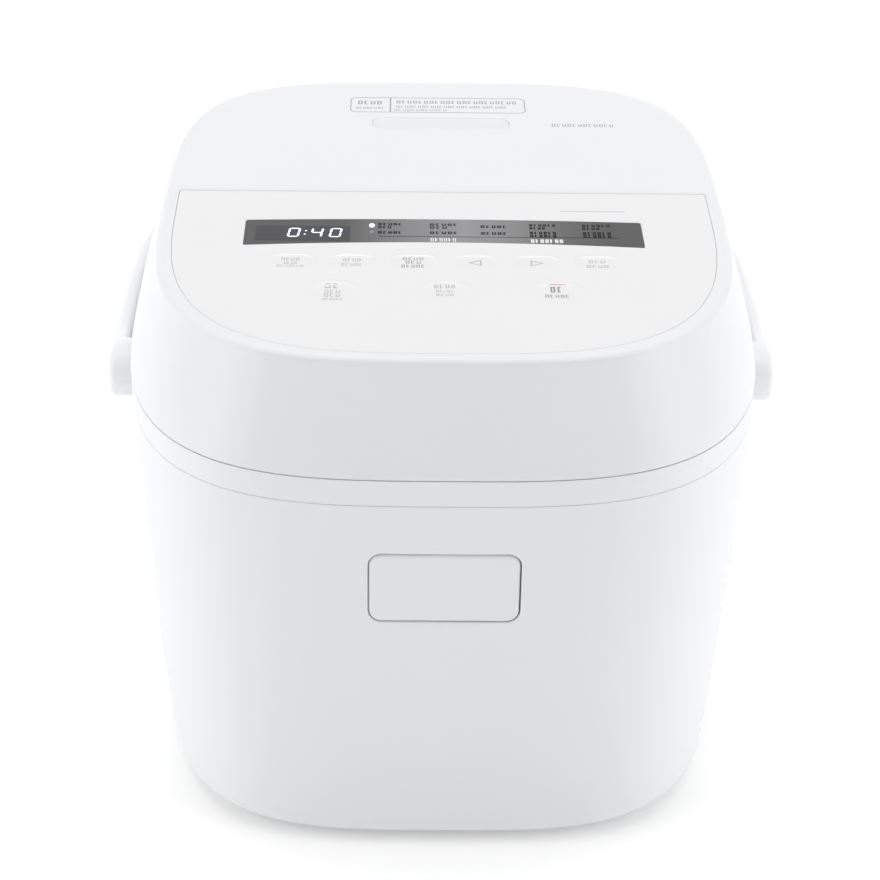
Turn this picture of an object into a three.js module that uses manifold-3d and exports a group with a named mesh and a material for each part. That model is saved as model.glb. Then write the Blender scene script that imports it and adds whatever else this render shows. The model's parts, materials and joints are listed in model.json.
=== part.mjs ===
// Rice cooker with a hinged lid, a fold-back carrying handle and a front release button.
//
// Millimetres, +Z up, front towards -Y. Every piece is drawn in the housing's own frame: x = 0 and
// y = 0 at the middle of the housing, z = 0 at its lower edge. The group at the end moves the whole
// appliance so that its origin is the middle of its footprint, at the bottom of the feet.

import * as THREE from 'three';
import { mergeVertices } from 'three/addons/utils/BufferGeometryUtils.js';
import Module from 'manifold-3d';

const wasm = await Module();
wasm.setup();

// ---------------------------------------------------------------- driving dimensions

// Housing: superellipse sections |x/a|^n + |y/b|^n = 1, widest at the seam between body and lid.
// A section's rear half can have an exponent of its own.
const SEAM = { a: 116, b: 149.4, n: 3.3, z: 155.1 };
const SOLE = { a: 104.2, b: 137.7, n: 3.5, z: 0 };
const CROWN = { a: 106, b: 134, n: 3.3, rear: 3.8, z: 191.4 };
const BODY_BULGE = 1.42; // exponent of the side wall's curve below the seam
const LID_BULGE = 1.22; // and above it
const SOLE_FILLET = 8.2;
const SIDES = 36; // corners of each section

const WALL = 3; // moulded housing wall
const GAP = 0.3; // clearance between neighbouring pieces
const BAND = 9.7; // height of the top frame's visible band, under the seam

const LID = { bottom: SEAM.z + GAP, top: 193.6, wall: 2.6, roof: 3.2, edge: 2.2 };
const PANEL = { a: 100.4, b: 128.4, n: 3.2, rear: 13.2, top: LID.top - 0.4, thick: 1.2, recess: 1.9 };

const POT = { y: -22, r: 92, flange: 101, wall: 2, bottom: 40, top: 151.4, corner: 34 };
const DECK = { top: 149.1, thick: 3.1, hole: 95.5 };

const HINGE = { y: SEAM.b - 8, z: SEAM.z, pin: 2, lugX: 48, lugWidth: 8, play: 0.4 };

const BUTTON = { halfX: 26.2, z0: 98.3, z1: 125.9, corner: 4.6, depth: 6.5, flange: 3 };
const HOOK = { y: -134, z: 140, half: 8, pin: 1.5, push: 114, slack: 2.4 };

const HANDLE = { y: POT.y, z: 134, a: 125.8, b: 162, n: 4, thick: 6.4, height: 14, hub: 10, pin: 4 };

const KEY_TRAVEL_ROOM = 0.5; // free height under each key
const KEY_ROW_1 = { y: -51.8, pitch: 22.2, width: 17, depth: 12, corner: 3 };
const KEY_ROW_2 = { y: -79, pitch: 39.7, width: 20, depth: 20, corner: 9.9 };
const DISPLAY = { halfX: 73.6, y0: -38.4, y1: -15.2, frontBow: 3.7, rearBow: 1.9 }; // long edges bow rearwards
const VENT = { halfX: 27.8, y0: 79.3, y1: 90.9, bottom: 166.3, corner: 4.5 };
const DUCT = { halfX: 31, y0: 44, y1: 96, floor: 158.7, wall: 1.5, port: 8, portY: 54 };
const INNER_LID = { r: 96, z0: 154, z1: 155.4 };

const FOOT = { x: 64, y: 92, r: 9, height: 3 };
const INLET = { x: 46, halfX: 17, z0: 20, z1: 46, y0: 118 };
const FAN = { y: 97, half: 28, z0: 6.6, z1: 21, bore: 26, blades: 7 };
const BASE = { a: 95, b: 128.5, n: 3.5 }; // base plate's rim; it steps in to fill the opening below

// ---------------------------------------------------------------- materials

const finish = (color, roughness, metalness = 0) =>
  new THREE.MeshStandardMaterial({ color, roughness, metalness });

const WHITE = finish(0xf2f3f5, 0.32);
const PANEL_WHITE = finish(0xe9eaec, 0.18);
const INNER_WHITE = finish(0xe4e5e6, 0.5);
const DARK_WINDOW = finish(0x4a4b50, 0.1);
const BLACK_PLASTIC = finish(0x222326, 0.55);
const BOARD = finish(0x1f5b3a, 0.6);
const STEEL = finish(0xb9bcc0, 0.3, 0.9);
const ALUMINIUM = finish(0xc9cbce, 0.35, 0.9);
const POT_COATING = finish(0x3b3a3a, 0.45, 0.2);
const COPPER = finish(0xb5683a, 0.4, 0.8);
const RUBBER = finish(0x5d5f62, 0.85);
const SILICONE = finish(0xd9dadb, 0.7);

// ---------------------------------------------------------------- solids

/** A closed mesh as a solid that can be joined and cut. */
function solid(geometry) {
  geometry.deleteAttribute('normal');
  geometry.deleteAttribute('uv');
  const merged = mergeVertices(geometry, 1e-4);
  const corners = merged.index.array;
  const kept = [];
  for (let i = 0; i < corners.length; i += 3) {
    const [p, q, r] = [corners[i], corners[i + 1], corners[i + 2]];
    if (p !== q && q !== r && r !== p) kept.push(p, q, r);
  }
  return new wasm.Manifold(new wasm.Mesh({
    numProp: 3,
    vertProperties: new Float32Array(merged.attributes.position.array),
    triVerts: new Uint32Array(kept),
  }));
}

const join = (...parts) => parts.reduce((sum, part) => sum.add(part));
const cut = (body, ...tools) => tools.reduce((rest, tool) => rest.subtract(tool), body);

function block(x0, x1, y0, y1, z0, z1) {
  const geometry = new THREE.BoxGeometry(x1 - x0, y1 - y0, z1 - z0);
  return solid(geometry.translate((x0 + x1) / 2, (y0 + y1) / 2, (z0 + z1) / 2));
}

/** A round bar along X, Y or Z from one coordinate to the other, on the line through (p, q). */
function bar(axis, r, from, to, p, q, sides = 14) {
  const geometry = new THREE.CylinderGeometry(r, r, to - from, sides);
  const middle = (from + to) / 2;
  if (axis === 'x') geometry.rotateZ(-Math.PI / 2).translate(middle, p, q);
  if (axis === 'y') geometry.translate(p, middle, q);
  if (axis === 'z') geometry.rotateX(Math.PI / 2).translate(p, q, middle);
  return solid(geometry);
}

/** A turned piece about the vertical through (0, y): the [radius, z] profile closes on itself. */
function turned(profile, y, sides = 30) {
  const points = [...profile, profile[0]].map(([r, z]) => new THREE.Vector2(r, z));
  return solid(new THREE.LatheGeometry(points, sides).rotateX(Math.PI / 2).translate(0, y, 0));
}

/** An outline in the XY plane, raised from z0 to z1. */
function prism(outline, z0, z1, curveSegments = 2) {
  const geometry = new THREE.ExtrudeGeometry(outline, { depth: z1 - z0, bevelEnabled: false, curveSegments });
  return solid(geometry.translate(0, 0, z0));
}

/** An outline in the XZ plane, drawn out along Y from y0 to y1. */
function prismY(outline, y0, y1, curveSegments = 2) {
  const geometry = new THREE.ExtrudeGeometry(outline, { depth: y1 - y0, bevelEnabled: false, curveSegments });
  return solid(geometry.rotateX(Math.PI / 2).translate(0, y1, 0));
}

/** An outline in the YZ plane, drawn out along X from x0 to x1. */
function prismX(outline, x0, x1, curveSegments = 2) {
  const geometry = new THREE.ExtrudeGeometry(outline, { depth: x1 - x0, bevelEnabled: false, curveSegments });
  return solid(geometry.rotateX(Math.PI / 2).rotateZ(Math.PI / 2).translate(x0, 0, 0));
}

function polygon(points) {
  return new THREE.Shape(points.map(([x, y]) => new THREE.Vector2(x, y)));
}

function roundedRect(x0, x1, y0, y1, r) {
  const shape = new THREE.Shape();
  shape.moveTo(x0 + r, y0);
  shape.lineTo(x1 - r, y0);
  shape.absarc(x1 - r, y0 + r, r, -Math.PI / 2, 0);
  shape.lineTo(x1, y1 - r);
  shape.absarc(x1 - r, y1 - r, r, 0, Math.PI / 2);
  shape.lineTo(x0 + r, y1);
  shape.absarc(x0 + r, y1 - r, r, Math.PI / 2, Math.PI);
  shape.lineTo(x0, y0 + r);
  shape.absarc(x0 + r, y0 + r, r, Math.PI, 1.5 * Math.PI);
  return shape;
}

// ---------------------------------------------------------------- superellipse sections

const power = (value, exponent) => Math.sign(value) * Math.abs(value) ** exponent;

function sectionPoint({ a, b, n, rear = n }, turn) {
  const exponent = 2 / (Math.sin(turn) > 0 ? rear : n);
  return [a * power(Math.cos(turn), exponent), b * power(Math.sin(turn), exponent)];
}

/** Half the depth of a section at a given x. */
const depthAt = ({ a, b, n }, x) => b * (1 - Math.abs(x / a) ** n) ** (1 / n);

/** The solid through a stack of sections, with flat ends. */
function loft(sections) {
  const points = [];
  for (const section of sections) {
    for (let side = 0; side < SIDES; side++) {
      const [x, y] = sectionPoint(section, (side / SIDES) * 2 * Math.PI);
      points.push(x, y, section.z);
    }
  }
  const last = sections.length - 1;
  const low = points.length / 3;
  points.push(0, 0, sections[0].z, 0, 0, sections[last].z);
  const faces = [];
  for (let side = 0; side < SIDES; side++) {
    const next = (side + 1) % SIDES;
    for (let level = 0; level < last; level++) {
      const [p, q] = [level * SIDES + side, level * SIDES + next];
      faces.push(p, q, q + SIDES, p, q + SIDES, p + SIDES);
    }
    faces.push(low, next, side, low + 1, last * SIDES + side, last * SIDES + next);
  }
  const geometry = new THREE.BufferGeometry();
  geometry.setAttribute('position', new THREE.Float32BufferAttribute(points, 3));
  geometry.setIndex(faces);
  return solid(geometry);
}

/** The section a share of the way from one section to another, drawn in by an inset. */
function between(from, to, share, z, inset) {
  const mix = (key, fallback = key) => {
    const start = from[key] ?? from[fallback];
    return start + ((to[key] ?? to[fallback]) - start) * share;
  };
  return { a: mix('a') - inset, b: mix('b') - inset, n: mix('n'), rear: mix('rear', 'n'), z };
}

const bodySection = (z, inset = 0) =>
  between(SEAM, SOLE, Math.min(1, Math.max(0, (SEAM.z - z) / SEAM.z)) ** BODY_BULGE, z, inset);

const lidSection = (z, inset = 0) =>
  between(SEAM, CROWN, Math.min(1, Math.max(0, (z - SEAM.z) / (CROWN.z - SEAM.z))) ** LID_BULGE, z, inset);

/** The housing's outer form, or an inner copy of it, between two heights. */
const bodyForm = (heights, inset = 0) => loft(heights.map((z) => bodySection(z, inset)));

const frontY = (z, inset = 0) => -bodySection(z, inset).b;

// ---------------------------------------------------------------- scene graph

const cooker = new THREE.Group();

function piece(name, body, material, parent = cooker) {
  const { numProp, vertProperties, triVerts } = body.getMesh();
  const positions = new Float32Array((vertProperties.length / numProp) * 3);
  for (let i = 0; i < positions.length / 3; i++) {
    positions.set(vertProperties.subarray(i * numProp, i * numProp + 3), i * 3);
  }
  const geometry = new THREE.BufferGeometry();
  geometry.setAttribute('position', new THREE.BufferAttribute(positions, 3));
  geometry.setIndex(Array.from(triVerts));
  geometry.computeVertexNormals();
  const mesh = new THREE.Mesh(geometry, material);
  mesh.name = name;
  parent.add(mesh);
}

// ---------------------------------------------------------------- housing

function housingForm() {
  const fillet = [0, 35, 65].map((degrees) => {
    const turn = THREE.MathUtils.degToRad(degrees);
    const z = SOLE_FILLET * (1 - Math.cos(turn));
    return bodySection(z, SOLE_FILLET * (1 - Math.sin(turn)));
  });
  const wall = [SOLE_FILLET, 50, 95, 125, SEAM.z - BAND - GAP].map((z) => bodySection(z));
  return loft([...fillet, ...wall]);
}

const buttonOutline = (grow) =>
  roundedRect(-BUTTON.halfX - grow, BUTTON.halfX + grow, BUTTON.z0 - grow, BUTTON.z1 + grow, BUTTON.corner);

function outerShell() {
  const inside = bodyForm([WALL, SOLE_FILLET + 4, 60, 110, SEAM.z], WALL);
  const floorOpening = loft([-1, WALL + 1].map((z) => ({ ...baseSection(-5), z })));
  const slots = [];
  for (let slot = 0; slot < 7; slot++) {
    const x = -72 + slot * 8;
    slots.push(block(x, x + 3.2, 110, 150, 26, 44));
  }
  const { x, halfX, z0, z1 } = INLET;
  return cut(
    housingForm(),
    inside,
    floorOpening,
    prismY(buttonOutline(GAP), -152, -138),
    block(x - halfX - GAP, x + halfX + GAP, 112, 150, z0 - GAP, z1 + GAP),
    bar('x', HANDLE.pin + GAP, -125, 125, HANDLE.y, HANDLE.z),
    ...slots,
  );
}

const baseSection = (grow) => ({ a: BASE.a + grow, b: BASE.b + grow, n: BASE.n });

function basePlate() {
  const vents = [];
  for (let slot = 0; slot < 6; slot++) {
    const x = -21.5 + slot * 8;
    vents.push(block(x, x + 3, FAN.y - 20, FAN.y + 20, -1, 8));
  }
  const holes = legPlaces().map(([x, y]) => bar('z', 1.8, -1, 8, x, y, 8));
  const lower = loft([GAP, WALL + GAP].map((z) => ({ ...baseSection(-5.4), z })));
  const upper = loft([WALL + GAP, 2 * WALL].map((z) => ({ ...baseSection(0), z })));
  return cut(join(lower, upper), ...vents, ...holes);
}

/** The four places where the base plate is screwed to the coil carrier. */
function legPlaces() {
  const reach = 46;
  return [[-1, -1], [1, -1], [-1, 1], [1, 1]].map(([i, j]) => [i * reach, POT.y + j * reach]);
}

function baseScrew(x, y) {
  return join(bar('z', 3.4, -1.6, 0, x, y, 10), bar('z', 1.5, -0.2, 10.5, x, y, 8));
}

// ---------------------------------------------------------------- hinge

/** How far the lid's rear edge lies behind the hinge axis at a given x. */
const hingeReach = (x) => depthAt(SEAM, x) - HINGE.y;

const hingeHalf = SEAM.a * (1 - (HINGE.y / SEAM.b) ** SEAM.n) ** (1 / SEAM.n);

const hingeStations = [-1, -0.88, -0.72, -0.5, -0.25, 0, 0.25, 0.5, 0.72, 0.88, 1].map((s) => s * hingeHalf);

/** The barrel about the hinge axis that the lid's rear edge rolls on. */
function barrel(grow) {
  const points = hingeStations.map((x) => new THREE.Vector2(Math.max(hingeReach(x), 0) + grow, x));
  const ends = [new THREE.Vector2(0, -hingeHalf - grow), new THREE.Vector2(0, hingeHalf + grow)];
  const geometry = new THREE.LatheGeometry([ends[0], ...points, ends[1]], 20);
  return solid(geometry.rotateZ(-Math.PI / 2).translate(0, HINGE.y, HINGE.z));
}

/** The room behind the axis that the lid's rear wall sweeps as it opens. */
function rearSweep() {
  const low = hingeStations.map((x) => [x, HINGE.z - Math.max(hingeReach(x), 0) - HINGE.play]);
  const outline = polygon([...low, [hingeHalf, SEAM.z + 1], [-hingeHalf, SEAM.z + 1]]);
  return prismY(outline, HINGE.y, SEAM.b + 6);
}

const lugSlots = (grow, r) =>
  [-1, 1].map((side) => {
    const middle = side * HINGE.lugX;
    const half = HINGE.lugWidth / 2 + grow;
    return bar('x', r, middle - half, middle + half, HINGE.y, HINGE.z, 20);
  });

// ---------------------------------------------------------------- top frame

function topFrame() {
  const band = bodyForm([SEAM.z - BAND, SEAM.z]);
  const lip = bodyForm([140.5, SEAM.z - BAND + 1], WALL + 0.4);
  const above = bodyForm([DECK.top, SEAM.z + 2], 6);
  const below = bodyForm([136, DECK.top - DECK.thick], 6);
  const cradle = block(-76, 76, 128, 150, 141, 148).intersect(bodyForm([138, 150], WALL + 0.4));
  const ring = join(cut(join(band, lip), above, below), cradle);
  const room = [barrel(HINGE.play), rearSweep()];
  const opened = cut(ring, bar('z', DECK.hole, 130, 160, 0, POT.y, 30), ...room);

  const eye = hingeReach(HINGE.lugX + HINGE.lugWidth / 2);
  const stems = [-1, 1].map((side) => {
    const [x0, x1] = [side * HINGE.lugX - HINGE.lugWidth / 2, side * HINGE.lugX + HINGE.lugWidth / 2];
    return block(x0, x1, HINGE.y - eye, HINGE.y, DECK.top - 4, HINGE.z);
  });
  const cheeks = [-1, 1].map((side) => {
    const x = side * (HOOK.half + 6);
    return block(x - 1.5, x + 1.5, HOOK.y - 4, HOOK.y + 4, HOOK.z - 4, DECK.top - 1);
  });
  return cut(
    join(opened, ...lugSlots(0, eye), ...stems, ...cheeks),
    bar('x', HINGE.pin + GAP, -60, 60, HINGE.y, HINGE.z),
    bar('x', HOOK.pin + GAP, -20, 20, HOOK.y, HOOK.z),
    block(-HOOK.half - 1, HOOK.half + 1, HOOK.y - 6.5, HOOK.y + 6.5, 140, 156),
  );
}

// ---------------------------------------------------------------- latch

function releaseButton() {
  const face = prismY(buttonOutline(0), -152, frontY(BUTTON.z0) + BUTTON.depth).intersect(housingForm());
  const flangeFront = frontY(BUTTON.z0, WALL) + 5 * GAP;
  const { halfX, z0, z1, flange: reach } = BUTTON;
  const flange = block(-halfX - reach, halfX + reach, flangeFront, flangeFront + 2, z0 - reach, z1 + reach);
  const boss = bar('y', 4, flangeFront + 1, HOOK.y - HOOK.slack, 0, HOOK.push);
  return join(face, flange, boss);
}

function latchHook() {
  const { y, z, half, pin } = HOOK;
  const arm = polygon([
    [y - 1.8, z - 32], [y + 1.4, z - 32], [y + 1.8, z - 6], [y + 4, z], [y + 1.6, z + 6],
    [y + 1.6, z + 15.6], [y + 4.4, z + 18.6], [y + 4.4, z + 20.4], [y + 1, z + 21.4], [y - 2, z + 20.4],
    [y - 2, z + 6], [y - 4, z], [y - 1.8, z - 6],
  ]);
  return cut(prismX(arm, -half, half), bar('x', pin + GAP, -half - 1, half + 1, y, z, 12));
}

// ---------------------------------------------------------------- pot, coil and sensor

/** A cup's wall profile: out along its floor, round its corner and up to its rim. */
function cupCurve(r, bottom, corner, top, from) {
  const points = [[from, bottom]];
  for (const degrees of [0, 30, 60, 90]) {
    const turn = THREE.MathUtils.degToRad(degrees);
    points.push([r - corner + corner * Math.sin(turn), bottom + corner * (1 - Math.cos(turn))]);
  }
  points.push([r, top]);
  return points;
}

function innerPot() {
  const { r, flange, wall, bottom, top, corner, y } = POT;
  const outer = cupCurve(r, bottom, corner, top - wall, 0);
  const inner = cupCurve(r - wall, bottom + wall, corner - wall, top, 0).reverse();
  const points = [...outer, [flange, top - wall], [flange, top], ...inner];
  const geometry = new THREE.LatheGeometry(points.map(([x, z]) => new THREE.Vector2(x, z)), 30);
  return solid(geometry.rotateX(Math.PI / 2).translate(0, y, 0));
}

function potWell() {
  const top = DECK.top - DECK.thick - GAP;
  const outer = cupCurve(POT.r + 6, POT.bottom - 5, POT.corner, top - 2, 15);
  const inner = cupCurve(POT.r + 4, POT.bottom - 3, POT.corner - 2, top, 15).reverse();
  return turned([...outer, [POT.r + 11, top - 2], [POT.r + 11, top], ...inner], POT.y);
}

const COIL_TOP = POT.bottom - 5 - GAP;

function inductionCoil() {
  return turned([[22, COIL_TOP - 4], [56, COIL_TOP - 4], [56, COIL_TOP], [22, COIL_TOP]], POT.y, 24);
}

function coilCarrier() {
  const top = COIL_TOP - 4 - GAP;
  const disc = turned([[0, 14], [17, 14], [17, top - 5], [76, top - 5], [76, top], [14, top], [14, 16], [0, 16]],
    POT.y, 24);
  const legs = legPlaces().map(([x, y]) => bar('z', 5, 2 * WALL + GAP, top - 4, x, y, 12));
  const holes = legPlaces().map(([x, y]) => bar('z', 1.8, 0, 12, x, y, 8));
  return cut(join(disc, ...legs), ...holes);
}

const SENSOR = { top: POT.bottom - GAP, r: 12, stem: 30.5 };

function temperatureSensor() {
  const { top, r, stem } = SENSOR;
  return turned([[0, stem], [5, stem], [5, stem + 3], [r, stem + 3], [r, top], [0, top]], POT.y, 24);
}

function sensorSpring() {
  return turned([[6, 16 + GAP], [8, 16 + GAP], [8, SENSOR.stem + 2.5], [6, SENSOR.stem + 2.5]], POT.y, 12);
}

// ---------------------------------------------------------------- electronics

function fanFrame() {
  const { y, half, z0, z1, bore } = FAN;
  const frame = cut(block(-half, half, y - half, y + half, z0, z1), bar('z', bore, z0 - 1, z1 + 1, 0, y, 24));
  const spokes = [
    block(-bore - 1, bore + 1, y - 1.5, y + 1.5, z1 - 1.6, z1),
    block(-1.5, 1.5, y - bore - 1, y + bore + 1, z1 - 1.6, z1),
  ];
  return join(frame, bar('z', 11, z1 - 1.6, z1, 0, y), ...spokes);
}

function fanImpeller() {
  const { y, z0, z1 } = FAN;
  const hub = bar('z', 10, z0 + 1.5, z1 - 2, 0, y);
  const blades = [];
  for (let blade = 0; blade < FAN.blades; blade++) {
    const geometry = new THREE.BoxGeometry(16, 1.4, 9).rotateX(0.7).translate(16, 0, (z0 + z1) / 2);
    geometry.rotateZ((blade / FAN.blades) * 2 * Math.PI).translate(0, y, 0);
    blades.push(solid(geometry));
  }
  return join(hub, ...blades);
}

function heatSink() {
  const fins = [block(-28, 28, 91.9, 95.9, 40, 90)];
  for (let fin = 0; fin < 8; fin++) {
    const x = -28 + fin * 7.72;
    fins.push(block(x, x + 1.96, 95, 114, 40, 90));
  }
  return join(...fins);
}

function powerInlet() {
  const { x, halfX, z0, z1, y0 } = INLET;
  const body = block(x - halfX, x + halfX, y0, 150, z0, z1).intersect(housingForm());
  const socket = prismY(roundedRect(x - 13, x + 13, z0 + 4.5, z1 - 4.5, 5), y0 + 6, 151);
  const pins = [-1, 1].map((side) => bar('y', 2, y0 + 5, y0 + 12, x + side * 6, (z0 + z1) / 2, 12));
  return join(cut(body, socket), ...pins);
}

// ---------------------------------------------------------------- handle

function handleOutline() {
  const { a, b, n, thick, y } = HANDLE;
  const shape = new THREE.Shape();
  const steps = 20;
  const rim = (inset, step) => {
    const section = { a: a - inset, b: b - inset, n };
    return sectionPoint(section, (Math.PI * step) / steps);
  };
  const outer = [[a, y]];
  const inner = [[-a + thick, y]];
  for (let step = 0; step <= steps; step++) {
    outer.push(rim(0, step));
    inner.push(rim(thick, steps - step));
  }
  outer.push([-a, y]);
  inner.push([a - thick, y]);
  shape.setFromPoints([...outer, ...inner].map(([px, py]) => new THREE.Vector2(px, py)));
  return shape;
}

function carryingHandle() {
  const { a, thick, y, z, height, hub, pin } = HANDLE;
  const bevel = 1.2;
  const geometry = new THREE.ExtrudeGeometry(handleOutline(), {
    depth: height - 2 * bevel, bevelThickness: bevel, bevelSize: bevel, bevelOffset: -bevel, bevelSegments: 1,
  });
  const strap = solid(geometry.translate(0, 0, z - height / 2 + bevel));
  const inside = bodySection(z).a + GAP;
  const hubs = [-1, 1].map((side) => {
    const [x0, x1] = [side * inside, side * a].sort((p, q) => p - q);
    return bar('x', hub, x0, x1, y, z, 24);
  });
  const bores = [-1, 1].map((side) => {
    const [x0, x1] = [side * (inside - 1), side * (a - 2)].sort((p, q) => p - q);
    return bar('x', pin + GAP, x0, x1, y, z);
  });
  return cut(join(strap, ...hubs), ...bores);
}

function handlePivot(side) {
  const { a, y, z, pin } = HANDLE;
  const ends = (from, to) => [side * from, side * to].sort((p, q) => p - q);
  const inner = bodySection(z, WALL).a - 4 * GAP;
  return join(bar('x', 6, ...ends(inner - 3, inner), y, z), bar('x', pin, ...ends(inner - 1, a - 2 - GAP), y, z));
}

// ---------------------------------------------------------------- lid

function lidForm(inset, bottom, top) {
  const rings = [bottom, 164, 174, 183, CROWN.z].map((z) => lidSection(z, inset));
  const { edge } = LID;
  const round = [0.5, 0.88, 1].map((s) => {
    const drop = edge * (1 - Math.sqrt(1 - s * s));
    return lidSection(CROWN.z + (top - CROWN.z) * s, inset + drop);
  });
  return loft([...rings, ...round]);
}

function panelOutline(inset) {
  const section = { a: PANEL.a - inset, b: PANEL.b - inset, n: PANEL.n };
  const rear = PANEL.rear - inset;
  const points = [[section.a, rear]];
  const steps = 20;
  for (let step = 0; step <= steps; step++) {
    points.push(sectionPoint(section, -(Math.PI * step) / steps));
  }
  points.push([-section.a, rear]);
  return polygon(points);
}

function displayOutline(grow) {
  const [w, front, rear] = [DISPLAY.halfX + grow, DISPLAY.y0 - grow, DISPLAY.y1 + grow];
  const shape = new THREE.Shape();
  shape.moveTo(-w, front);
  shape.quadraticCurveTo(0, front + 2 * DISPLAY.frontBow, w, front);
  shape.lineTo(w, rear);
  shape.quadraticCurveTo(0, rear + 2 * DISPLAY.rearBow, -w, rear);
  return shape;
}

const ventOutline = (grow) =>
  roundedRect(-VENT.halfX - grow, VENT.halfX + grow, VENT.y0 - grow, VENT.y1 + grow, VENT.corner);

function keyOutline({ x, y, width, depth, corner }, grow) {
  const [w, d] = [width / 2 + grow, depth / 2 + grow];
  return roundedRect(x - w, x + w, y - d, y + d, corner);
}

function keyPlaces() {
  const first = ['key_keep_warm', 'key_taste', 'key_timer', 'key_left', 'key_right', 'key_menu'];
  const second = ['key_cancel', 'key_quick', 'key_start'];
  const place = (row, names) =>
    names.map((name, i) => ({ ...row, name, x: row.pitch * (i - (names.length - 1) / 2) }));
  return [...place(KEY_ROW_1, first), ...place(KEY_ROW_2, second)];
}

function lidShell() {
  const outer = lidForm(0, LID.bottom, LID.top);
  const inner = loft([LID.bottom - 1, 174, LID.top - LID.roof].map((z) => lidSection(z, LID.wall)));
  const shell = join(cut(outer, inner), barrel(0));
  const springRoom = [-1, 1].map((side) => {
    const [x0, x1] = [side * 22, side * 36].sort((p, q) => p - q);
    return bar('x', 5.4, x0, x1, HINGE.y, HINGE.z);
  });
  return cut(
    shell,
    prism(panelOutline(-GAP), LID.top - PANEL.recess, LID.top + 2),
    prism(displayOutline(-3), LID.top - 6, LID.top, 6),
    prism(ventOutline(GAP), LID.top - 6, LID.top + 2),
    ...lugSlots(0.4, 6.6),
    ...springRoom,
    bar('x', HINGE.pin + GAP, -58, 58, HINGE.y, HINGE.z),
  );
}

function controlPanel() {
  const plate = prism(panelOutline(0), PANEL.top - PANEL.thick, PANEL.top);
  const keys = keyPlaces().map((key) => prism(keyOutline(key, GAP), LID.top - 4, LID.top + 1, 4));
  return cut(plate, prism(displayOutline(GAP), LID.top - 4, LID.top + 1, 8), ...keys);
}

function steamVentCap() {
  const body = prism(ventOutline(0), VENT.bottom, LID.top);
  const trough = polygon([[VENT.y0 + 1.2, LID.top + 1], [VENT.y0 + 1.2, LID.top - 1.5],
    [VENT.y1 - 1.2, LID.top - 0.3], [VENT.y1 - 1.2, LID.top + 1]]);
  const chamber = block(-24, 24, VENT.y0 + 2, VENT.y1 - 2, VENT.bottom - 1, LID.top - 6);
  const outlets = block(-20, 20, VENT.y0 + 2, VENT.y0 + 3.4, LID.top - 8, LID.top);
  return cut(body, prismX(trough, -VENT.halfX + 2, VENT.halfX - 5), chamber, outlets);
}

function steamDuct() {
  const { halfX, y0, y1, floor, wall, port, portY } = DUCT;
  const roof = VENT.bottom - GAP;
  const outer = block(-halfX, halfX, y0, y1, floor, roof);
  const channel = block(-halfX + 3, halfX - 3, y0 + 2, y1 - 2, floor + wall, roof - wall);
  const outlet = block(-24, 24, VENT.y0 + 2, VENT.y1 - 2, roof - 3, roof + 1);
  return cut(outer, channel, outlet, bar('z', port, floor - 1, floor + 3, 0, portY));
}

function lidFrame() {
  const plate = loft([156, 158.4].map((z) => lidSection(z, LID.wall + 3 * GAP)));
  const rear = block(-hingeHalf - 6, hingeHalf + 6, HINGE.y - 9.2, 160, 150, 165);
  const hookHole = block(-HOOK.half - 1.5, HOOK.half + 1.5, HOOK.y - 7.5, HOOK.y + 4.8, 150, 165);
  const port = bar('z', DUCT.port, 150, 165, 0, DUCT.portY);
  return cut(plate, rear, hookHole, port, bar('z', 4, 150, 165, 0, POT.y));
}

function innerLid() {
  const { r, z0, z1 } = INNER_LID;
  const disc = turned([[4.3, z0], [r, z0], [r, z1], [4.3, z1]], POT.y);
  return cut(disc, bar('z', DUCT.port, z0 - 1, z1 + 1, 0, DUCT.portY));
}

function innerLidGasket() {
  const inner = INNER_LID.r + 0.4;
  return turned([[inner, 153.6], [94, 151.8], [99, 151.8], [103, 153.4], [103, 155.6], [inner, 155.6]], POT.y);
}

function innerLidKnob() {
  return turned([[0, 150.4], [8, 150.4], [8, 153.6], [3.6, 153.6], [3.6, 159.4], [0, 159.4]], POT.y, 20);
}

const lidHeater = () => turned([[40, 158.8], [66, 158.8], [66, 160], [40, 160]], POT.y, 24);

// ---------------------------------------------------------------- assembly

piece('outer_shell', outerShell(), WHITE);
piece('top_frame', topFrame(), WHITE);
piece('base_plate', basePlate(), INNER_WHITE);
for (const [end, j] of [['front', -1], ['rear', 1]]) {
  for (const [side, i] of [['left', -1], ['right', 1]]) {
    const foot = bar('z', FOOT.r, -FOOT.height, 0, i * FOOT.x, j * FOOT.y);
    piece(`foot_${end}_${side}`, foot, RUBBER);
  }
}
legPlaces().forEach(([x, y], i) => piece(`base_screw_${i + 1}`, baseScrew(x, y), STEEL));

piece('pot_well', potWell(), ALUMINIUM);
piece('inner_pot', innerPot(), POT_COATING);
piece('coil_carrier', coilCarrier(), BLACK_PLASTIC);
piece('induction_coil', inductionCoil(), COPPER);
piece('temperature_sensor', temperatureSensor(), ALUMINIUM);
piece('sensor_spring', sensorSpring(), STEEL);

piece('power_board', block(-80, 80, 90, 91.6, 30, 125), BOARD);
piece('heat_sink', heatSink(), ALUMINIUM);
piece('fan_frame', fanFrame(), BLACK_PLASTIC);
piece('fan_impeller', fanImpeller(), BLACK_PLASTIC);
piece('power_inlet', powerInlet(), BLACK_PLASTIC);

piece('release_button', releaseButton(), WHITE);
piece('latch_hook', latchHook(), INNER_WHITE);
piece('hook_pin', bar('x', HOOK.pin, -17, 17, HOOK.y, HOOK.z, 12), STEEL);
piece('hook_spring', cut(
  bar('x', 3.2, HOOK.half + GAP, HOOK.half + 4.2, HOOK.y, HOOK.z),
  bar('x', HOOK.pin + GAP, HOOK.half, HOOK.half + 5, HOOK.y, HOOK.z, 12),
), STEEL);

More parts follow.
